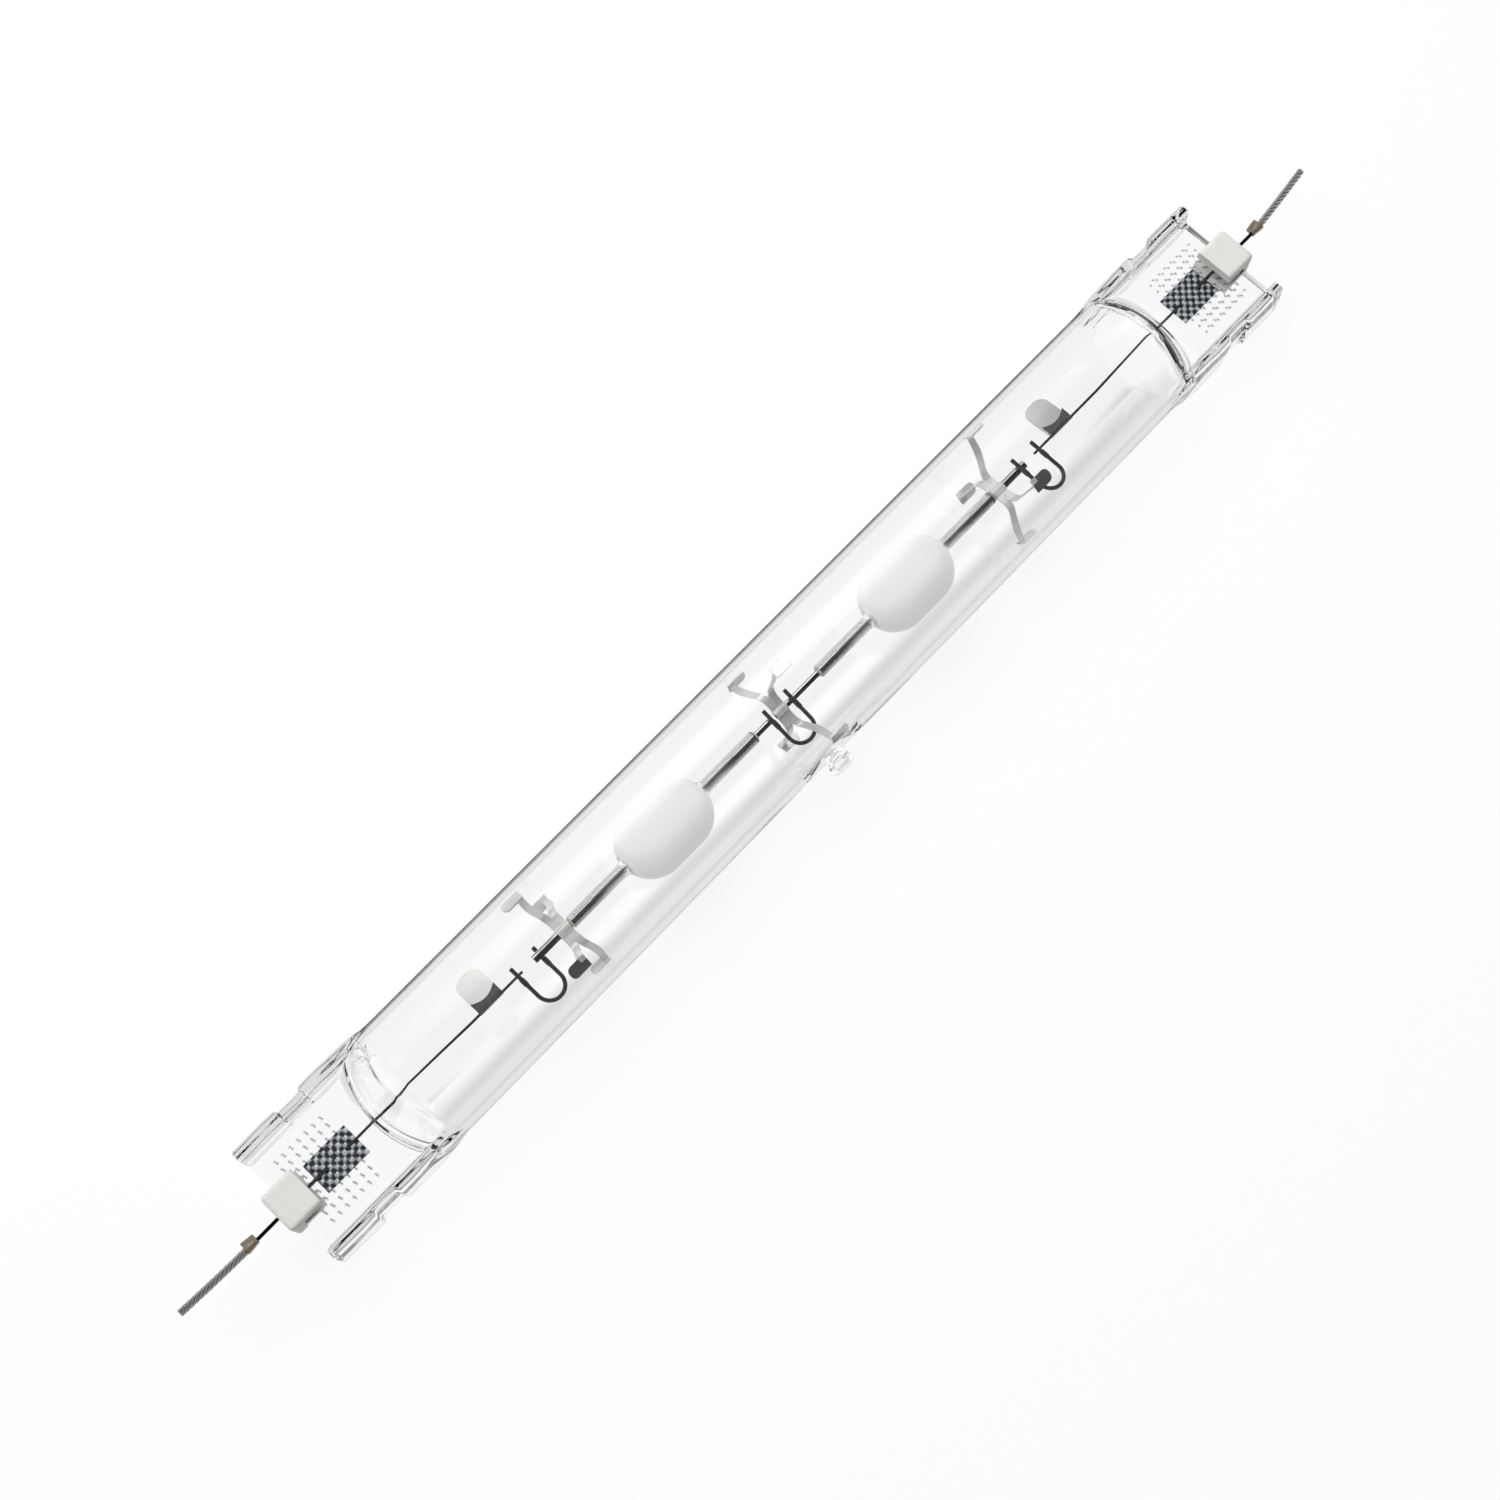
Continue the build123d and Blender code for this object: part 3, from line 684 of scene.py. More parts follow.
class Envelope:
    """The quartz tube as two grids: rows run along the tube, columns run round it."""

    # Lines across a quarter of the press's section
    web_lines, foot_lines, wall_lines, arc_lines, top_lines, side_lines = 44, 5, 3, 5, 3, 8
    # Rows along each half of the outer wall
    tube_rows, dome_rows, press_rows, rows_per_dimple, tail_rows, end_rows = 11, 25, 5, 8, 4, 6
    # Lines and rows of the hollow
    bore_lines, bore_rows, bore_dome_rows, bore_end_rows = 96, 13, 30, 9
    # Lines and rings of the tip's patch, and steps of the rounds in both profiles
    tip_lines, tip_rings, tip_rise_rings, tip_steps, dome_steps = 28, 24, 9, 8, 12
    # The dome's top over the tube, and its first ring past the wall
    dome_clear, first_ring = 0.1 * MM, 0.3 * MM
    # Rounds of the crease between dome and tube, and the stretches over which they come and go
    crease, bore_crease, crease_run, bore_crease_run = 0.7 * MM, 0.6 * MM, 3 * MM, 2 * MM
    # How fast a line becomes rib, wavelengths and phases of a rib's lumps, and the run of its overhang
    rib_rate, lump_across, lump_up, lump_lean, lump_shift = 3.0, 2.3 * MM, 1.7 * MM, 0.4, 1.3
    overhang_run = 4 * MM
    # Steepness of a dimple's wall
    dimple_power = 1.5
    # The tip's patch against its root, and the drop, flare and rounds of its neck
    tip_patch, neck_drop, flare_rise = 1.9, 0.3 * MM, 0.15 * MM
    tip_rounds = (0.8 * MM, 0.6 * MM, 0.2 * MM, 0.8 * MM)

    def __init__(self, sizes):
        self.sizes = sizes
        self.axis = sizes.end - sizes.dome_from_end
        self.wall_y = sizes.press_half - sizes.rib_width
        self.tip_edge = self.tip_patch * sizes.tip_root
        self.quarter_section()
        self.full_y = self.around(self.y, True, False)
        self.full_z = self.around(self.z, False, True)
        self.full_rib = self.around(self.rib, False, False)
        self.full_spine = self.around(self.spine, False, False)
        back = self.theta[::-1]
        turns = [self.theta, np.pi - back[1:], np.pi + self.theta[1:], 2 * np.pi - back[1:-1]]
        self.full_theta = np.concatenate(turns)

    def quarter_section(self):
        """A quarter of the press's section from the middle of the web to the middle of a rib's side: flat
        web, hollow round, wall, round, top, round and side. Also the angle on the tube that each line comes
        from, how far it belongs to the rib, and the place on the section's spine that it closes on."""
        s = self.sizes
        foot, turn, top = s.rib_foot, s.rib_round, s.rib_height
        quarter = np.pi / 2

        def run(start, stop, count):
            return np.linspace(start, stop, count + 1)[1:]

        hollow, bend = run(0, quarter, self.foot_lines), run(0, quarter, self.arc_lines)
        web_y = np.linspace(0, self.wall_y - foot, self.web_lines)
        stretches = (
            (web_y, np.full(self.web_lines, s.web_half)),
            (self.wall_y - foot + foot * np.sin(hollow), s.web_half + foot - foot * np.cos(hollow)),
            (np.full(self.wall_lines, self.wall_y), run(s.web_half + foot, top - turn, self.wall_lines)),
            (self.wall_y + turn - turn * np.cos(bend), top - turn + turn * np.sin(bend)),
            (run(self.wall_y + turn, s.press_half - turn, self.top_lines), np.full(self.top_lines, top)),
            (s.press_half - turn + turn * np.sin(bend), top - turn + turn * np.cos(bend)),
            (np.full(self.side_lines, s.press_half), run(top - turn, 0, self.side_lines)),
        )
        self.y, self.z = (np.concatenate(part) for part in zip(*stretches))
        rib = len(self.y) - self.web_lines
        web_angle = np.arcsin(web_y / s.tube_radius)
        self.theta = np.concatenate([web_angle, run(web_angle[-1], quarter, rib)])
        self.rib = np.concatenate([np.zeros(self.web_lines), smoothstep(run(0, 1, rib) * self.rib_rate)])
        flat = self.y[: self.web_lines + self.foot_lines]
        self.spine = np.concatenate([flat, run(self.wall_y, s.press_half, rib - self.foot_lines)])

    def around(self, quarter, flip_y, flip_z):
        """A value on a quarter's lines carried round all four, with its sign turned where it is
        mirrored."""
        y, z = (-1 if flip_y else 1), (-1 if flip_z else 1)
        back = quarter[::-1]
        return np.concatenate([quarter, z * back[1:], y * z * quarter[1:], y * back[1:-1]])

    def dome(self, top, low, shoulder, foot, turns):
        """Height of the dome over its radius: a flat top, a straight side and a flat foot, with rounds
        between."""
        far = 2 * self.sizes.dome_from_end
        return rounded([(0, top), (shoulder, top), (foot, low), (far, low)], turns, self.dome_steps)

    def half_rows(self, start):
        """Places along the tube for each line of a half: the round tube, rings of the dome about its
        upright axis, the plain press, the field of dimples and the press's end."""
        s = self.sizes
        y = np.abs(self.full_y)[None]

        def run(first, last, count):
            share = np.linspace(0, 1, count + 1)[1:, None]
            return first + (last - first) * share

        nearest, farthest = s.press_half + self.first_ring, s.dome_foot + s.foot_round
        ring = np.linspace(nearest, farthest, self.dome_rows)[:, None]
        dome = self.axis + np.sqrt(ring**2 - y**2)
        field, field_end = s.end - s.dimple_start, s.end - s.dimple_stop
        tube = run(np.full_like(y, start), dome[:1], self.tube_rows)
        press = run(dome[-1:], np.full_like(y, field), self.press_rows)
        rows = round(self.rows_per_dimple * (field_end - field) / s.dimple_pitch)
        dimples = np.broadcast_to(run(field, field_end, rows), (rows, y.shape[1]))
        tail = run(field_end, s.end - s.end_round, self.tail_rows)
        tail = np.broadcast_to(tail, (self.tail_rows, y.shape[1]))
        return np.concatenate([tube, dome[1:], press, dimples, tail])

    def outer_half(self, start):
        """Outer wall from a place along the tube to the press's end, and its dimples' depth for painted
        shade.
        The tube's circle gives way to the press's section as the dome comes down. Dimples, seats and lumps
        are added, and the end is rounded over and closed."""
        s = self.sizes
        y, z, rib = self.full_y[None], self.full_z[None], self.full_rib[None]
        side_y, side_z, flank = np.sign(y), np.sign(z), rib > 0
        x = self.half_rows(start)
        radius = np.where(x < self.axis, 0.0, np.hypot(x - self.axis, y))
        turns = (s.shoulder_round, s.foot_round)
        top = s.tube_radius + self.dome_clear
        profile = self.dome(top, s.web_half, s.dome_shoulder, s.dome_foot, turns)
        height = np.interp(radius, profile[:, 0], profile[:, 1])
        round_y, round_z = (s.tube_radius * wave(self.full_theta)[None] for wave in (np.sin, np.cos))
        soft = self.crease * smoothstep((radius - s.press_half) / self.crease_run)
        web_z = smooth_min(np.abs(round_z), height, soft) * np.sign(round_z)
        edge = s.tube_radius * math.cos(self.theta[self.web_lines - 1])
        pressed = 1 - np.clip((smooth_min(edge, height, soft) - s.web_half) / (edge - s.web_half), 0, 1)
        grid_y = np.where(flank, round_y + (y - round_y) * pressed, y)
        grid_z = np.where(flank, round_z + (z - round_z) * pressed, web_z)
        pit = self.dimples(x, y) * pressed * (1 - flank)
        lump = s.rib_lumps * pressed * rib
        grid_y = grid_y - side_y * self.seats(x, y) * pressed
        grid_y = grid_y + lump * np.sin(x / self.lump_across + self.lump_lean * z / MM) * side_y
        grid_z = grid_z - side_z * pit * s.dimple_depth
        grid_z = grid_z + lump * np.sin(x / self.lump_up + self.lump_shift * side_y) * side_z
        over = s.rib_overhang * rib * smoothstep((x - s.end + self.overhang_run) / self.overhang_run)
        body = np.stack([x + over, grid_y, grid_z], -1)
        end = self.closed_end(body[-1])
        return np.concatenate([body, end]), np.concatenate([pit, np.zeros(end.shape[:2])])

    def dimples(self, x, y):
        """Share of their depth that the small dimples reach: a square field of them, fading at its edge."""
        s = self.sizes
        along, pitch = x - (s.end - s.dimple_start), s.dimple_pitch
        off_x = along - pitch * np.round(along / pitch)
        off_y = y - pitch * np.round(y / pitch)
        near = np.clip(1 - (off_x**2 + off_y**2) / s.dimple_radius**2, 0, 1)
        edge = np.minimum(np.minimum(along, s.end - s.dimple_stop - x), s.dimple_reach - np.abs(y))
        return near**self.dimple_power * smoothstep(edge / pitch)

    def seats(self, x, y):
        """Depth of the notch in a rib's side: a flat floor with a slope at each end, fading across the
        rib."""
        s = self.sizes
        off = np.abs(x - (s.end - s.seat_from_end)) - 0.5 * s.seat_length
        along = 1 - smoothstep(off / s.seat_slope)
        across = np.clip((np.abs(y) - self.wall_y - s.rib_round) / (s.rib_width - s.rib_round), 0, 1)
        return s.seat_depth * along * across

    def closed_end(self, last):
        """The press's end: the last section shrinks along its own normals round a quarter circle, and its
        lines then run flat to the section's spine, where the upper and lower ones meet."""
        s = self.sizes
        around = np.roll(last, -1, 0) - np.roll(last, 1, 0)
        normal = unit(np.stack([np.zeros(len(last)), around[:, 2], -around[:, 1]], -1))
        normal *= np.sign(np.sum(normal[:, 1:] * last[:, 1:], 1).mean())
        turn = np.linspace(0, np.pi / 2, self.end_rows + 1)[1:, None, None]
        along = np.array([s.end_round, 0.0, 0.0])
        rows = last[None] + np.sin(turn) * along - (1 - np.cos(turn)) * s.end_round * normal[None]
        face = rows[-1]
        spine = face.copy()
        spine[:, 1] = np.sign(self.full_y) * self.full_spine * (1 - s.end_round / s.press_half)
        spine[:, 2] = 0.0
        return np.concatenate([rows, (0.5 * (face + spine))[None], spine[None]])

    def outer(self):
        """The whole outer wall, and its dimples' depth for painted shade: a mirrored half, the middle with
        the sealed tip drawn out of it, and a half."""
        s = self.sizes
        right, painted_shades = self.outer_half(s.tip_offset + self.tip_edge)
        left, left_painted_shades = self.outer_half(self.tip_edge - s.tip_offset)
        x = np.linspace(-self.tip_edge, self.tip_edge, 2 * self.tip_lines + 1)[1:-1, None] + s.tip_offset
        y, z = (s.tube_radius * wave(self.full_theta)[None] for wave in (np.sin, np.cos))
        middle = np.stack(np.broadcast_arrays(x, y, z), -1)
        self.draw_tip(middle)
        wall = np.concatenate([left[::-1] * MIRROR, middle, right])
        return wall, np.concatenate([left_painted_shades[::-1], np.zeros(middle.shape[:2]), painted_shades])

    def draw_tip(self, middle):
        """Draws the sealed tip out of the tube's side: square rings of the grid round the tip's place
        become circles with the radius and height of its profile, button, neck and flare, and ease back into
        the grid further out."""
        s = self.sizes
        reach, root = self.tip_lines - 1, self.tip_rings
        steps = np.arange(-reach, reach + 1)
        across = 3 * (len(self.y) - 1) + steps
        i, j = np.meshgrid(steps, steps, indexing="ij")
        ring, bearing = np.maximum(np.abs(i), np.abs(j)), np.arctan2(j, i)
        beyond = (ring - root) / (reach + 1 - root)
        button, neck, base = s.tip_button, s.tip_neck, s.tube_radius
        low = s.tip_reach - s.tip_button_height
        corners = [(0, s.tip_reach), (button, s.tip_reach), (button, low), (neck, low - self.neck_drop)]
        corners += [(neck, base + self.flare_rise), (s.tip_root, base)]
        profile = evenly(rounded(corners, self.tip_rounds, self.tip_steps), root + 1)
        radius, height = (np.interp(ring, np.arange(root + 1), profile[:, k]) for k in (0, 1))
        radius = np.where(ring > root, s.tip_root + (self.tip_edge - s.tip_root) * beyond, radius)
        x, z = radius * np.cos(bearing) + s.tip_offset, -radius * np.sin(bearing)
        tube = np.sqrt(np.maximum(base**2 - z**2, 0))
        risen = smoothstep((root - ring) / self.tip_rise_rings)
        patch = np.stack([x, -(tube + (height - tube) * risen), z], -1)
        eased = patch + (middle[:, across] - patch) * smoothstep(beyond)[..., None]
        wall = -np.sqrt(np.maximum(base**2 - eased[..., 2] ** 2, 0))
        eased[..., 1] = np.where(ring < root, eased[..., 1], wall)
        middle[:, across] = eased

    def inner(self):
        """The wall of the hollow: a round bore, closed at each end by a dome about the same upright axis.
        The dome keeps the tube's thickness under the outer one and ends in a small round on the tube's
        middle plane."""
        s = self.sizes
        bore = s.tube_radius - s.tube_wall
        theta = circle(self.bore_lines)[None]
        top, low = bore + self.dome_clear, s.web_half - s.tube_wall
        slope = math.atan2(top - low, s.dome_foot - s.dome_shoulder)
        back = s.tube_wall * math.tan(0.5 * slope)
        turns = (s.shoulder_round - s.tube_wall, s.foot_round + s.tube_wall)
        profile = self.dome(top, low, s.dome_shoulder - back, s.dome_foot - back, turns)
        y, round_z = bore * np.sin(theta), bore * np.cos(theta)
        last = s.bore_end - s.bore_round
        close = np.linspace(0, np.pi / 2, self.bore_end_rows + 1)[1:]
        sloped = np.linspace(bore + self.first_ring, last, self.bore_dome_rows)
        ring = np.concatenate([sloped, last + s.bore_round * np.sin(close)])[:, None]
        shut = np.concatenate([np.ones(self.bore_dome_rows), np.cos(close)])[:, None]
        height = np.interp(ring, profile[:, 0], profile[:, 1]) * shut
        fade = smoothstep((s.bore_end - ring) / self.bore_crease_run)
        soft = self.bore_crease * smoothstep((ring - bore) / self.crease_run) * fade
        z = smooth_min(np.abs(round_z), height, soft) * np.sign(round_z)
        x = self.axis + np.sqrt(ring**2 - y**2)
        half = np.stack([x, y + 0 * x, z], -1)
        middle = np.linspace(-1, 1, self.bore_rows + 2)[1:-1, None] * half[0, :, 0][None]
        straight = np.stack([middle, y + 0 * middle, round_z + 0 * middle], -1)
        return np.concatenate([half[::-1] * MIRROR, straight, half])


def foil_sheet(sizes, side):
    """A foil as a thin plate whose middle is a product of two sine waves, one along it and one across."""
    rows, columns = 72, 52
    x = np.linspace(foil_low.x, foil_high.x, rows)[:, None]
    y = np.linspace(foil_low.y, foil_high.y, columns)[None]
    wave = 2 * np.pi / sizes.foil_pitch
    relief = sizes.foil_wave * np.sin(wave * (x - foil_low.x)) * np.sin(wave * (y - foil_low.y))
    z = 0.5 * (foil_low.z + foil_high.z) + relief
    middle = np.stack([side * x + 0 * y, y + 0 * x, z], -1)
    return plate(middle, side * facing(middle), sizes.foil_half)


def strands(sizes, side, tilt):
    """The strands of a lead: six round wires wound about a straight one. Each carries a circle along its
    helix, with one leg of the circle along the line from the lead's axis to the strand, and closes to a
    point at both ends. Also gives how deep each point lies in the grooves, from nought on a crest to one
    between the strands, which the finish paints as shade."""
    wound, rows, columns = 6, 150, 14
    groove_start, groove_rate = 1.05, 1.3
    joint = 0.5 * (crimp_low.x + crimp_high.x) * side
    along = np.array([side * math.cos(tilt), math.sin(tilt), 0.0])
    aside = np.array([-side * math.sin(tilt), math.cos(tilt), 0.0])
    up = np.array([0.0, 0.0, 1.0])
    wire = sizes.lead_radius / 3
    run = np.linspace(0, sizes.lead_length, rows)
    bow = sizes.lead_bow * (run / sizes.lead_length) ** 2
    axis = np.array([joint, 0, 0]) + (sizes.lead_start + run)[:, None] * along + bow[:, None] * aside
    radius = wire * np.sqrt(np.clip(np.minimum(run, run[::-1]) / (0.5 * wire), 0, 1))[:, None, None]
    made = [pipe(axis, radius, aside, up, columns)]
    for index in range(wound):
        turn = (2 * np.pi * (run / sizes.lead_pitch + index / wound))[:, None]
        out = np.cos(turn) * aside + np.sin(turn) * up
        path = axis + 2 * wire * out
        beside = np.cross(heading(path), out)
        made.append(pipe(path, radius, out[:, None], beside[:, None], columns))
    depth = smoothstep(groove_start - groove_rate * np.cos(circle(columns)))
    groove = np.broadcast_to(depth, (rows, columns))
    return made, np.stack([np.ones_like(groove)] + wound * [groove])


def crimp_strip(sizes, side):
    """A crimp: a strip whose section runs in along one pressed end, round the wires and out along the
    other. Its radius grows from the pin to the lead, and its ends close to a wedge."""
    columns, tongue_rows, round_rows = 13, 7, 33
    half = 0.5 * sizes.crimp_sheet
    wedge_tip = 1.03 * half
    x = np.linspace(crimp_low.x, crimp_high.x, columns)[None]
    share = (x - crimp_low.x) / (crimp_high.x - crimp_low.x)
    radius = sizes.crimp_pin + (sizes.crimp_lead - sizes.crimp_pin) * smoothstep(share) - half
    root = np.arcsin(sizes.crimp_root / radius)
    out = np.linspace(1, 0, tongue_rows + 1)[:-1, None]
    turn = root + (2 * np.pi - 2 * root) * np.linspace(0, 1, round_rows)[:, None]
    tongue = radius * np.cos(root) + sizes.crimp_tongue * out
    wedge = sizes.crimp_root + (wedge_tip - sizes.crimp_root) * out + 0 * x
    y = np.concatenate([tongue, radius * np.cos(turn), tongue[::-1]])
    z = np.concatenate([wedge, radius * np.sin(turn), -wedge[::-1]])
    middle = np.stack([side * x + 0 * y, y, z + 0.5 * (crimp_low.z + crimp_high.z)], -1)
    return plate(middle, facing(middle), half)


def turned(points, tilt):
    """Points turned about the tube's axis."""
    x, y, z = np.moveaxis(points, -1, 0)
    cos, sin = math.cos(tilt), math.sin(tilt)
    return np.stack([x, y * cos - z * sin, y * sin + z * cos], -1)


def link_wire(sizes, near, far, tilt):
    """A link: a circle carried down a leg, round half a circle and up the other leg, in a plane through
    both welds. It is thicker along the sleeve below each weld, and flat at its ends."""
    leg_rows, bend_rows, columns = 59, 33, 16
    sleeve_slope = 0.3 * MM
    near, far = np.array(near), np.array(far)
    span = np.linalg.norm(far - near)
    run, bend = (far - near) / span, 0.5 * span
    down = np.array([0.0, -math.cos(tilt), -math.sin(tilt)])
    face = np.cross(run, down)
    floor = sizes.link_drop - bend
    leg = np.linspace(-sizes.link_stub, floor, leg_rows + 1)[:-1]
    swing = np.linspace(0, np.pi, bend_rows)
    a = np.concatenate([0 * leg, bend - bend * np.cos(swing), span + 0 * leg])
    b = np.concatenate([leg, floor + bend * np.sin(swing), leg[::-1]])
    path = near + a[:, None] * run + b[:, None] * down
    beside = np.cross(heading(path), face)
    off = np.abs(b - sizes.sleeve_start - 0.5 * sizes.sleeve_length) - 0.5 * sizes.sleeve_length
    sleeve = 1 - smoothstep(0.5 + off / sleeve_slope)
    radius = sizes.link_radius + (sizes.sleeve_radius - sizes.link_radius) * sleeve
    wall = pipe(path, radius[:, None, None], face, beside[:, None], columns)
    ends = [np.repeat(path[k][None, None], columns, 1) for k in (0, -1)]
    return np.concatenate([ends[0], wall, ends[1]])


def spring_clip(sizes, rod):
    """The clip of a spring: a rectangle turned about the rod."""
    turns = 40
    inner = rod + sizes.weld_gap
    outer = inner + sizes.spring_sheet
    half = 0.5 * sizes.spring_width
    section = np.array([(-half, inner), (half, inner), (half, outer), (-half, outer)])
    turn = np.linspace(0, 2 * np.pi, turns + 1)[:, None]
    x, radius = section[None, :, 0] + 0 * turn, section[None, :, 1]
    return np.stack([x, radius * np.sin(turn), radius * np.cos(turn)], -1)


def spring_arm(sizes, rod, wing, end):
    """Half a wing and its arm: a strip carried out from the clip, up a bend to the wall and over to the
    foot. Its inner edge leaves the wing's middle line at the crotch and swings out in a round curve."""
    rows, columns, bend_steps = 46, 9, 10
    bends = (2.6 * MM, 0.6 * MM)
    root, crotch, curve = 0.6 * sizes.spring_sheet, 0.2, 2.4
    shoulder, shoulder_run = 0.08, 0.6
    foot = sizes.spring_foot / math.sqrt(2)
    wall = np.array([foot, foot])
    beside = np.array([-1.0, 1.0]) / math.sqrt(2)
    corners = [(rod + root, 0), (sizes.spring_wing, 0)]
    corners += [wall, wall + sizes.tab_half * beside]
    path = evenly(rounded(corners, bends, bend_steps), rows)
    ahead = heading(path)
    share = np.linspace(0, 1, rows)
    splay, arm, half = sizes.spring_splay, 0.5 * sizes.spring_arm, 0.5 * sizes.spring_width
    out = np.clip((share - crotch) / (1 - crotch), 0, 1)
    inner = (splay - arm) * (1 - (1 - out) ** curve)
    outer = half + (splay + arm - half) * smoothstep((share - shoulder) / shoulder_run)
    x = inner[:, None] + (outer - inner)[:, None] * np.linspace(0, 1, columns)[None]
    y, z = (np.broadcast_to(path[:, k, None], x.shape) for k in (0, 1))
    middle = np.stack([end * x, wing * y, end * z], -1)
    normal = np.stack([0 * x, -wing * ahead[:, 1, None] + 0 * x, end * ahead[:, 0, None] + 0 * x], -1)
    return plate(middle, normal, 0.5 * sizes.spring_sheet)


def spring_foot(sizes, wing, end):
    """A foot: a strip of the tube's wall along the tube, with its free end rounded over."""
    straight_rows, round_rows, columns = 5, 12, 13
    start = end * sizes.spring_splay - 0.5 * sizes.spring_arm
    straight, turn = sizes.tab_length - sizes.tab_round, sizes.tab_round
    swing = np.linspace(0, np.pi / 2, round_rows)
    rows = [np.linspace(0, straight, straight_rows + 1)[:-1], sizes.tab_length - turn * np.cos(swing)]
    along = np.concatenate(rows)
    past = np.clip(along - straight, 0, turn)
    half = sizes.tab_half - turn + np.sqrt(np.maximum(turn**2 - past**2, 0))
    bearing = math.pi / 4 + half[:, None] * np.linspace(-1, 1, columns)[None] / sizes.spring_foot
    out = np.stack([0 * bearing, wing * np.cos(bearing), end * np.sin(bearing)], -1)
    middle = sizes.spring_foot * out
    middle[..., 0] = start + along[:, None]
    return plate(middle, out, 0.5 * sizes.spring_sheet)


def spring_sheets(sizes, rod, place, flip, turn, stain_and_painted_shade):
    """All sheets of one spring, turned about the tube's axis and set in its place, with the foot that has
    painted shade first, and that painted shade on the foot's points."""
    wings = [(-flip, 1), (-flip, -1), (flip, 1), (flip, -1)]
    sheets = [spring_foot(sizes, *wing) for wing in wings]
    sheets += [spring_arm(sizes, rod, *wing) for wing in wings]
    sheets.append(spring_clip(sizes, rod))
    turn_over = np.array([flip, flip, 1.0])
    placed = [turned(sheet, turn) * turn_over + np.array([place, 0, 0]) for sheet in sheets]
    return placed, np.full(sheets[0].shape[:2], stain_and_painted_shade)


def getter_strip(sizes, side):
    """A getter: a sheet folded round the lead. Its section runs down the long leaf, round the fold and up
    the short leaf. The long leaf's corners are rounded and the short leaf's edge is hollowed by a
    parabola."""
    long_rows, fold_rows, short_rows, columns = 29, 17, 13, 21
    half_length = 0.5 * (getter_high.x - getter_low.x)
    middle_x = 0.5 * (getter_high.x + getter_low.x) * side
    top, corner_round = getter_high.y, sizes.getter_round
    inside = inner_lead_radius + sizes.weld_gap + 0.5 * sizes.getter_sheet
    drop = math.tan(sizes.getter_lean) * top
    turn = np.linspace(0, np.pi, fold_rows)
    leaf = np.linspace(1, 0, long_rows + 1)[:-1]
    end = np.linspace(0, 1, short_rows + 1)[1:]
    y = np.concatenate([top * leaf, -inside * np.sin(turn), sizes.getter_fold * end])
    z = np.concatenate([-inside - drop * leaf, -inside * np.cos(turn), np.full(short_rows, inside)])
    corner = np.clip(y - (top - corner_round), 0, corner_round)
    width = half_length - corner_round + np.sqrt(np.maximum(corner_round**2 - corner**2, 0))
    across = np.linspace(-1, 1, columns)[None]
    x = width[:, None] * across
    hollow = sizes.getter_notch * (1 - across**2) * np.concatenate([0 * leaf, 0 * turn, end])[:, None]
    middle = np.stack([middle_x + x, y[:, None] - hollow, z[:, None] + 0 * x], -1)
    ahead = heading(np.stack([y, z], -1))
    normal = np.stack([0 * x, -ahead[:, 1, None] + 0 * x, ahead[:, 0, None] + 0 * x], -1)
    return plate(middle, normal, 0.5 * sizes.getter_sheet)


class LAMP_OT_envelope(bpy.types.Operator):
    """Makes the quartz tube with its pressed ends and sealed tip."""

    bl_idname = "lamp.envelope"
    bl_label = "Quartz tube"

    def execute(self, context):
        shape = Envelope(context.scene.lamp_glass)
        finish = finishes(context.scene.lamp_colours)["quartz"]
        outer, painted_shades = shape.outer()
        walls = [outer, shape.inner()]
        piece = build("quartz_tube", walls, finish, hollow=(1,), sharp=60.0, painted_shades=painted_shades)
        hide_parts("outer_envelope")
        return {"FINISHED"}


class LAMP_OT_foils(bpy.types.Operator):
    """Makes the waved foils that seal in the pressed webs."""

    bl_idname = "lamp.foils"
    bl_label = "Foils"

    def execute(self, context):
        sizes = context.scene.lamp_wires
        finish = finishes(context.scene.lamp_colours)["foil_metal"]
        for name, side in SIDES.items():
            piece = build(f"waved_foil_{name}", [foil_sheet(sizes, side)], finish)
            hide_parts(f"foil_{name}")
        return {"FINISHED"}


class LAMP_OT_leads(bpy.types.Operator):
    """Makes the stranded leads and their crimps."""

    bl_idname = "lamp.leads"
    bl_label = "Stranded leads"

    def execute(self, context):
        sizes, looks = context.scene.lamp_wires, finishes(context.scene.lamp_colours)
        tilts = {"left": sizes.left_tilt, "right": sizes.right_tilt}
        for name, side in SIDES.items():
            wires, grooves = strands(sizes, side, tilts[name])
            # The grooves' depth is kept on the lead's points as painted shade
            piece = build(f"twisted_lead_{name}", wires, looks["lead_metal"], painted_shades=grooves)
            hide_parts(f"stranded_lead_{name}")
            strip = [crimp_strip(sizes, side)]
            crimp = build(f"folded_crimp_{name}", strip, looks["crimp_metal"])
            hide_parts(f"crimp_{name}")
        return {"FINISHED"}


class LAMP_OT_arc_tubes(bpy.types.Operator):
    """Finishes the arc tubes, their frit, rods and electrodes."""

    bl_idname = "lamp.arc_tubes"
    bl_label = "Arc tubes"

    def execute(self, context):
        looks = finishes(context.scene.lamp_colours)
        finish_node(both("arc_tube"), looks["alumina"])
        ends = [f"{side}_{end}" for side in SIDES for end in ("outer", "inner")]
        for stem, slot in {"frit": "frit", "feedthrough": "niobium", "electrode": "tungsten"}.items():
            finish_node([f"{stem}_{end}" for end in ends], looks[slot])
        return {"FINISHED"}


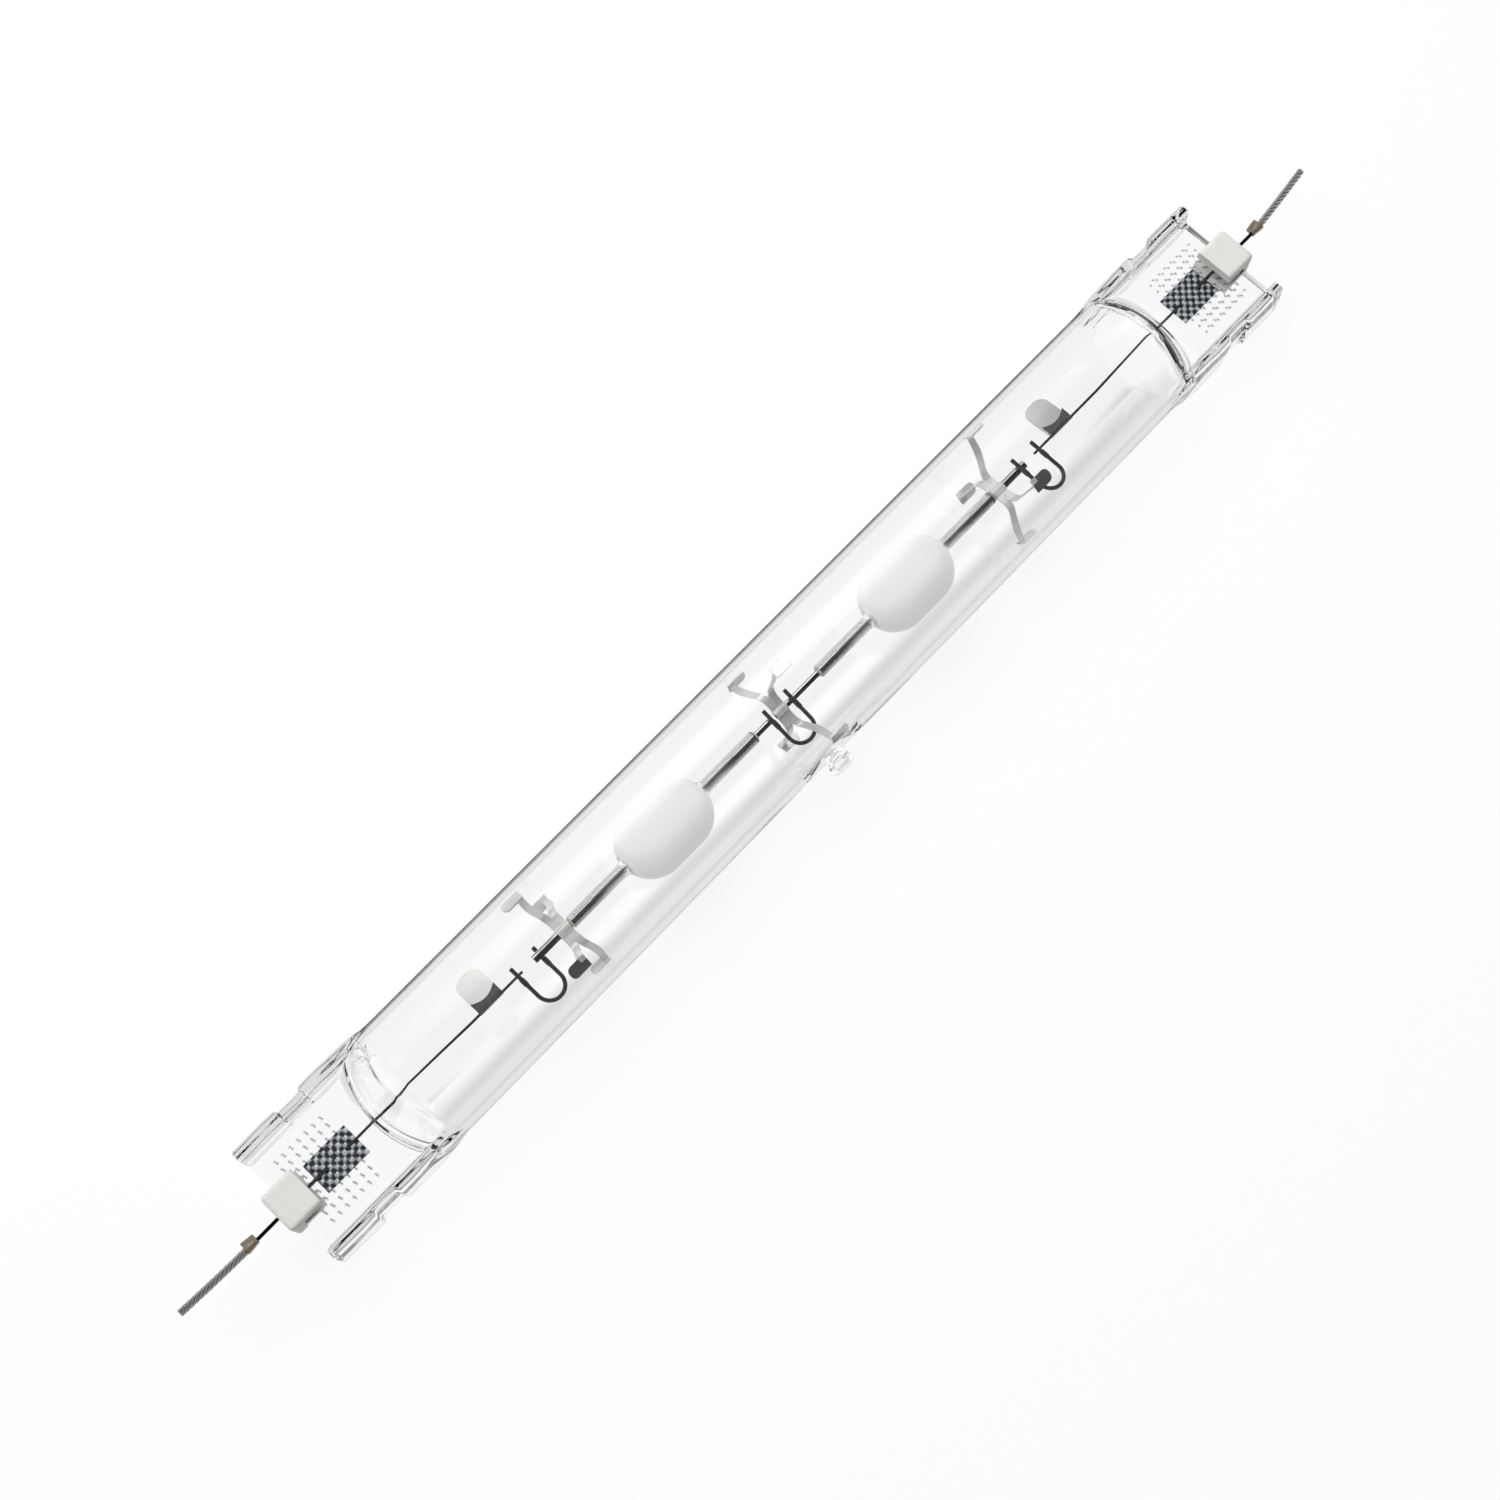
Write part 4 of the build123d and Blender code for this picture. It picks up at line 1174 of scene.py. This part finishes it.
class LAMP_OT_wires(bpy.types.Operator):
    """Makes the links and finishes the inner leads and pins."""

    bl_idname = "lamp.wires"
    bl_label = "Wires"

    def execute(self, context):
        sizes, finish = context.scene.lamp_chain, finishes(context.scene.lamp_colours)["molybdenum"]
        wire, paths = sizes.link_radius, {}
        rod, lead = (radius + wire + sizes.weld_gap for radius in (rod_radius, inner_lead_radius))
        near, far = link_low.x + wire, link_high.x - wire
        for name, side in SIDES.items():
            paths[name] = (side * near, 0, side * rod), (side * far, 0, side * lead), 0.0
        near, far = middle_link_low.x + wire, middle_link_high.x - wire
        height = (inner_rod_radius + wire + sizes.weld_gap) / math.cos(sizes.link_tilt)
        paths["middle"] = (near, 0, height), (far, 0, height), sizes.link_tilt
        for name, path in paths.items():
            piece = build(f"sleeved_link_{name}", [link_wire(sizes, *path)], finish)
            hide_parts(f"flex_link_{name}")
        finish_node(both("inner_lead") + both("outer_pin"), finish)
        return {"FINISHED"}


class LAMP_OT_supports(bpy.types.Operator):
    """Makes the sheet springs that hold the chain in the tube."""

    bl_idname = "lamp.supports"
    bl_label = "Supports"

    def execute(self, context):
        sizes = context.scene.lamp_chain
        finish = finishes(context.scene.lamp_colours)["spring_metal"]
        springs = {
            "left": (rod_radius, -sizes.spring_place, -1, sizes.left_turn, FOOT_PAINTED_SHADE),
            "middle": (inner_rod_radius, sizes.spring_middle, 1, sizes.middle_turn, 0.0),
            "right": (rod_radius, sizes.spring_place, 1, sizes.right_turn, FOOT_PAINTED_SHADE),
        }
        for name, spring in springs.items():
            # Each outer spring's first foot carries painted shade
            sheets, painted_foot_shades = spring_sheets(sizes, *spring)
            piece = build(f"curved_spring_{name}", sheets, finish, sharp=50.0, painted_shades=painted_foot_shades)
            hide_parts(f"support_{name}")
        return {"FINISHED"}


class LAMP_OT_getters(bpy.types.Operator):
    """Makes the folded getter strips."""

    bl_idname = "lamp.getters"
    bl_label = "Getters"

    def execute(self, context):
        sizes = context.scene.lamp_chain
        finish = finishes(context.scene.lamp_colours)["getter_metal"]
        for name, side in SIDES.items():
            strip = [getter_strip(sizes, side)]
            piece = build(f"folded_getter_{name}", strip, finish, sharp=50.0)
            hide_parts(f"getter_{name}")
        return {"FINISHED"}


class LAMP_OT_blocks(bpy.types.Operator):
    """Finishes the ceramic blocks on the ends of the presses."""

    bl_idname = "lamp.blocks"
    bl_label = "End blocks"

    def execute(self, context):
        finish = finishes(context.scene.lamp_colours)["block_ceramic"]
        finish_node(both("end_block"), finish)
        return {"FINISHED"}


class LAMP_OT_stage(bpy.types.Operator):
    """Makes the floor, the light and the camera."""

    bl_idname = "lamp.stage"
    bl_label = "Stage"

    floor_half = 4.0
    dark, pale = 0.035, 0.7

    def execute(self, context):
        stage, colours = context.scene.lamp_stage, context.scene.lamp_colours
        context.scene.view_settings.view_transform = "Standard"
        self.floor(context, colours.floor)
        self.sky(context, stage)
        self.lights(context, stage)
        self.camera(context, stage)
        return {"FINISHED"}

    def floor(self, context, rgb):
        """A wide pale floor under the tube: white with a soft shadow to the camera, matte to stray light,
        and open to gloss and glass, which see the white table below it."""
        half, low = self.floor_half, cad_box[0][2]
        corners = [(-half, -half, low), (half, -half, low), (half, half, low), (-half, half, low)]
        mesh = bpy.data.meshes.new("floor")
        mesh.from_pydata(corners, [], [(0, 1, 2, 3)])
        material, finish = new_finish("floor")
        matte = finish.node("ShaderNodeBsdfDiffuse", {}, {"Color": shaded(rgb, 1.0)})
        white = finish.node("ShaderNodeEmission", {}, {"Color": (1, 1, 1, 1), "Strength": 1.0})
        lit = finish.mix(finish.ray("Is Camera Ray") * 0.85, matte, white)
        through = finish.limit(finish.ray("Is Glossy Ray") + finish.ray("Is Transmission Ray"))
        finish.surface(finish.mix(through, lit, finish.clear()))
        mesh.materials.append(material)
        floor = bpy.data.objects.new("floor", mesh)
        context.scene.collection.objects.link(floor)

    def sky(self, context, stage):
        """White where the camera looks, straight or through glass, and a little less where glass bends the
        look to the near side. What bounces off a surface sees a dark studio over a white table, with a dark
        strip beside the table on the far side and a glow at both ends. What bounces in a single pane, or
        twice, sees a paler studio."""
        world = bpy.data.worlds.new("studio")
        world.use_nodes = True
        context.scene.world = world
        finish = Finish(world.node_tree)
        along, across, rise = finish.axes("XYZ", finish.node("ShaderNodeTexCoord", out="Generated"))
        edge, gap = (
            across * math.cos(tilt) + rise * math.sin(tilt) for tilt in (stage.table_edge, stage.table_gap)
        )
        below = finish.ramp(0.5 - 0.5 * rise, (0.44, 0.0), (0.62, 1.0))
        lean = finish.ramp(0.5 + across, (0.6, 0.77), (0.645, 1.0))
        table = lean * finish.ramp(0.5 - edge, (0.5, 0.0), (0.56, 1.0))
        beyond = finish.ramp(0.5 + gap, (0.5, 0.0), (0.6, 0.8))
        ends = finish.ramp(along * along, (0.25, 0.0), (0.5, 0.8))
        bent, bounced = finish.ray("Transmission Depth"), finish.ray("Glossy Depth")
        one_pane = finish.limit(3.0 - bent) * finish.limit(bent)
        paler = self.pale * finish.limit(one_pane + finish.limit(bounced - 1.0)) * (1.0 - below)
        seen = finish.limit(self.dark + below * (table + beyond) + (ends + paler))
        glass = finish.ray("Is Transmission Ray")
        looked = finish.limit(finish.ray("Is Camera Ray") + glass)
        straight = looked * (1.0 - finish.limit(bounced + finish.ray("Diffuse Depth")))
        room, white = (
            finish.node("ShaderNodeBackground", {}, {"Color": colour, "Strength": 1.0})
            for colour in (seen, 1.0 - glass * (1.0 - lean))
        )
        finish.node("ShaderNodeOutputWorld", {}, {"Surface": finish.mix(straight, room, white)})

    def lights(self, context, stage):
        """A softbox over the tube's far side, brightest in its middle, and a matte fill that neither gloss
        nor glass shows."""
        size = stage.softbox_length, stage.softbox_width
        softbox = self.lamp(context, "softbox", stage.softbox_power, size)
        self.hang(softbox, stage.softbox_tilt, stage.softbox_away, stage.softbox_shift)
        softbox.data.use_nodes = True
        finish = Finish(softbox.data.node_tree)
        u, v = finish.axes("XY", finish.node("ShaderNodeNewGeometry", out="Parametric"))
        glow = 16.0 * u * (1.0 - u) * v * (1.0 - v)
        beam = finish.node("ShaderNodeEmission", {}, {"Color": glow, "Strength": 1.0})
        finish.node("ShaderNodeOutputLight", {}, {"Surface": beam})
        fill = self.lamp(context, "fill", stage.fill_power, (stage.fill_side, stage.fill_side))
        self.hang(fill, stage.fill_tilt, stage.fill_away, 0.0)
        fill.visible_glossy = False
        fill.visible_transmission = False

    def lamp(self, context, name, watts, size):
        """An area lamp of a power and two sides."""
        light = bpy.data.lights.new(name, "AREA")
        light.shape, light.energy = "RECTANGLE", watts
        light.size, light.size_y = size
        holder = bpy.data.objects.new(name, light)
        context.scene.collection.objects.link(holder)
        return holder

    def hang(self, lamp, tilt, away, shift):
        """Turns a lamp to the tube from a tilt off the upright, a distance, and a shift along the tube,
        with its first side along the tube."""
        back = Vector((0.0, math.sin(tilt), math.cos(tilt)))
        along = Vector((1.0, 0.0, 0.0))
        lamp.matrix_world = self.looking(along * shift + back * away, along, back)

    def looking(self, spot, right, back):
        """The place of a lamp or camera at a spot, with its right side and its back turned to two ways."""
        return Matrix.Translation(spot) @ Matrix((right, back.cross(right), back)).transposed().to_4x4()

    def camera(self, context, stage):
        """A camera that looks at the aim from its azimuth and elevation, upright, at its distance."""
        eye = bpy.data.cameras.new("camera")
        eye.lens, eye.sensor_width, eye.clip_start = stage.lens, 36.0, 10.0 * MM
        turn, rise = stage.azimuth, stage.elevation
        back = Vector((math.sin(turn) * math.cos(rise), -math.cos(turn) * math.cos(rise), math.sin(rise)))
        right = Vector((math.cos(turn), math.sin(turn), 0.0))
        holder = bpy.data.objects.new("camera", eye)
        aim = Vector((stage.aim_x, stage.aim_y, 0.0))
        holder.matrix_world = self.looking(aim + back * stage.distance, right, back)
        context.scene.collection.objects.link(holder)
        context.scene.camera = holder


OPERATORS = (
    LAMP_OT_envelope,
    LAMP_OT_foils,
    LAMP_OT_leads,
    LAMP_OT_arc_tubes,
    LAMP_OT_wires,
    LAMP_OT_supports,
    LAMP_OT_getters,
    LAMP_OT_blocks,
    LAMP_OT_stage,
)
SETTINGS = {
    "lamp_glass": GlassSizes,
    "lamp_wires": WireSizes,
    "lamp_chain": ChainSizes,
    "lamp_colours": FinishColours,
    "lamp_stage": StageSettings,
}


class LAMP_PT_panel(bpy.types.Panel):
    """Lists the lamp's pieces in the order they are made."""

    bl_idname = "LAMP_PT_panel"
    bl_label = "Arc lamp"
    bl_space_type = "VIEW_3D"
    bl_region_type = "UI"
    bl_category = "Lamp"

    def draw(self, context):
        for operator in OPERATORS:
            self.layout.operator(operator.bl_idname)


def register():
    for settings in SETTINGS.values():
        bpy.utils.register_class(settings)
    for name, settings in SETTINGS.items():
        setattr(bpy.types.Scene, name, PointerProperty(type=settings))
    for operator in (*OPERATORS, LAMP_PT_panel):
        bpy.utils.register_class(operator)


def unregister():
    for operator in (LAMP_PT_panel, *reversed(OPERATORS)):
        bpy.utils.unregister_class(operator)
    for name in SETTINGS:
        delattr(bpy.types.Scene, name)
    for settings in reversed(SETTINGS.values()):
        bpy.utils.unregister_class(settings)


def main():
    register()
    bpy.ops.lamp.envelope()
    bpy.ops.lamp.foils()
    bpy.ops.lamp.leads()
    bpy.ops.lamp.arc_tubes()
    bpy.ops.lamp.wires()
    bpy.ops.lamp.supports()
    bpy.ops.lamp.getters()
    bpy.ops.lamp.blocks()
    bpy.ops.lamp.stage()


if __name__ == "__main__":
    main()
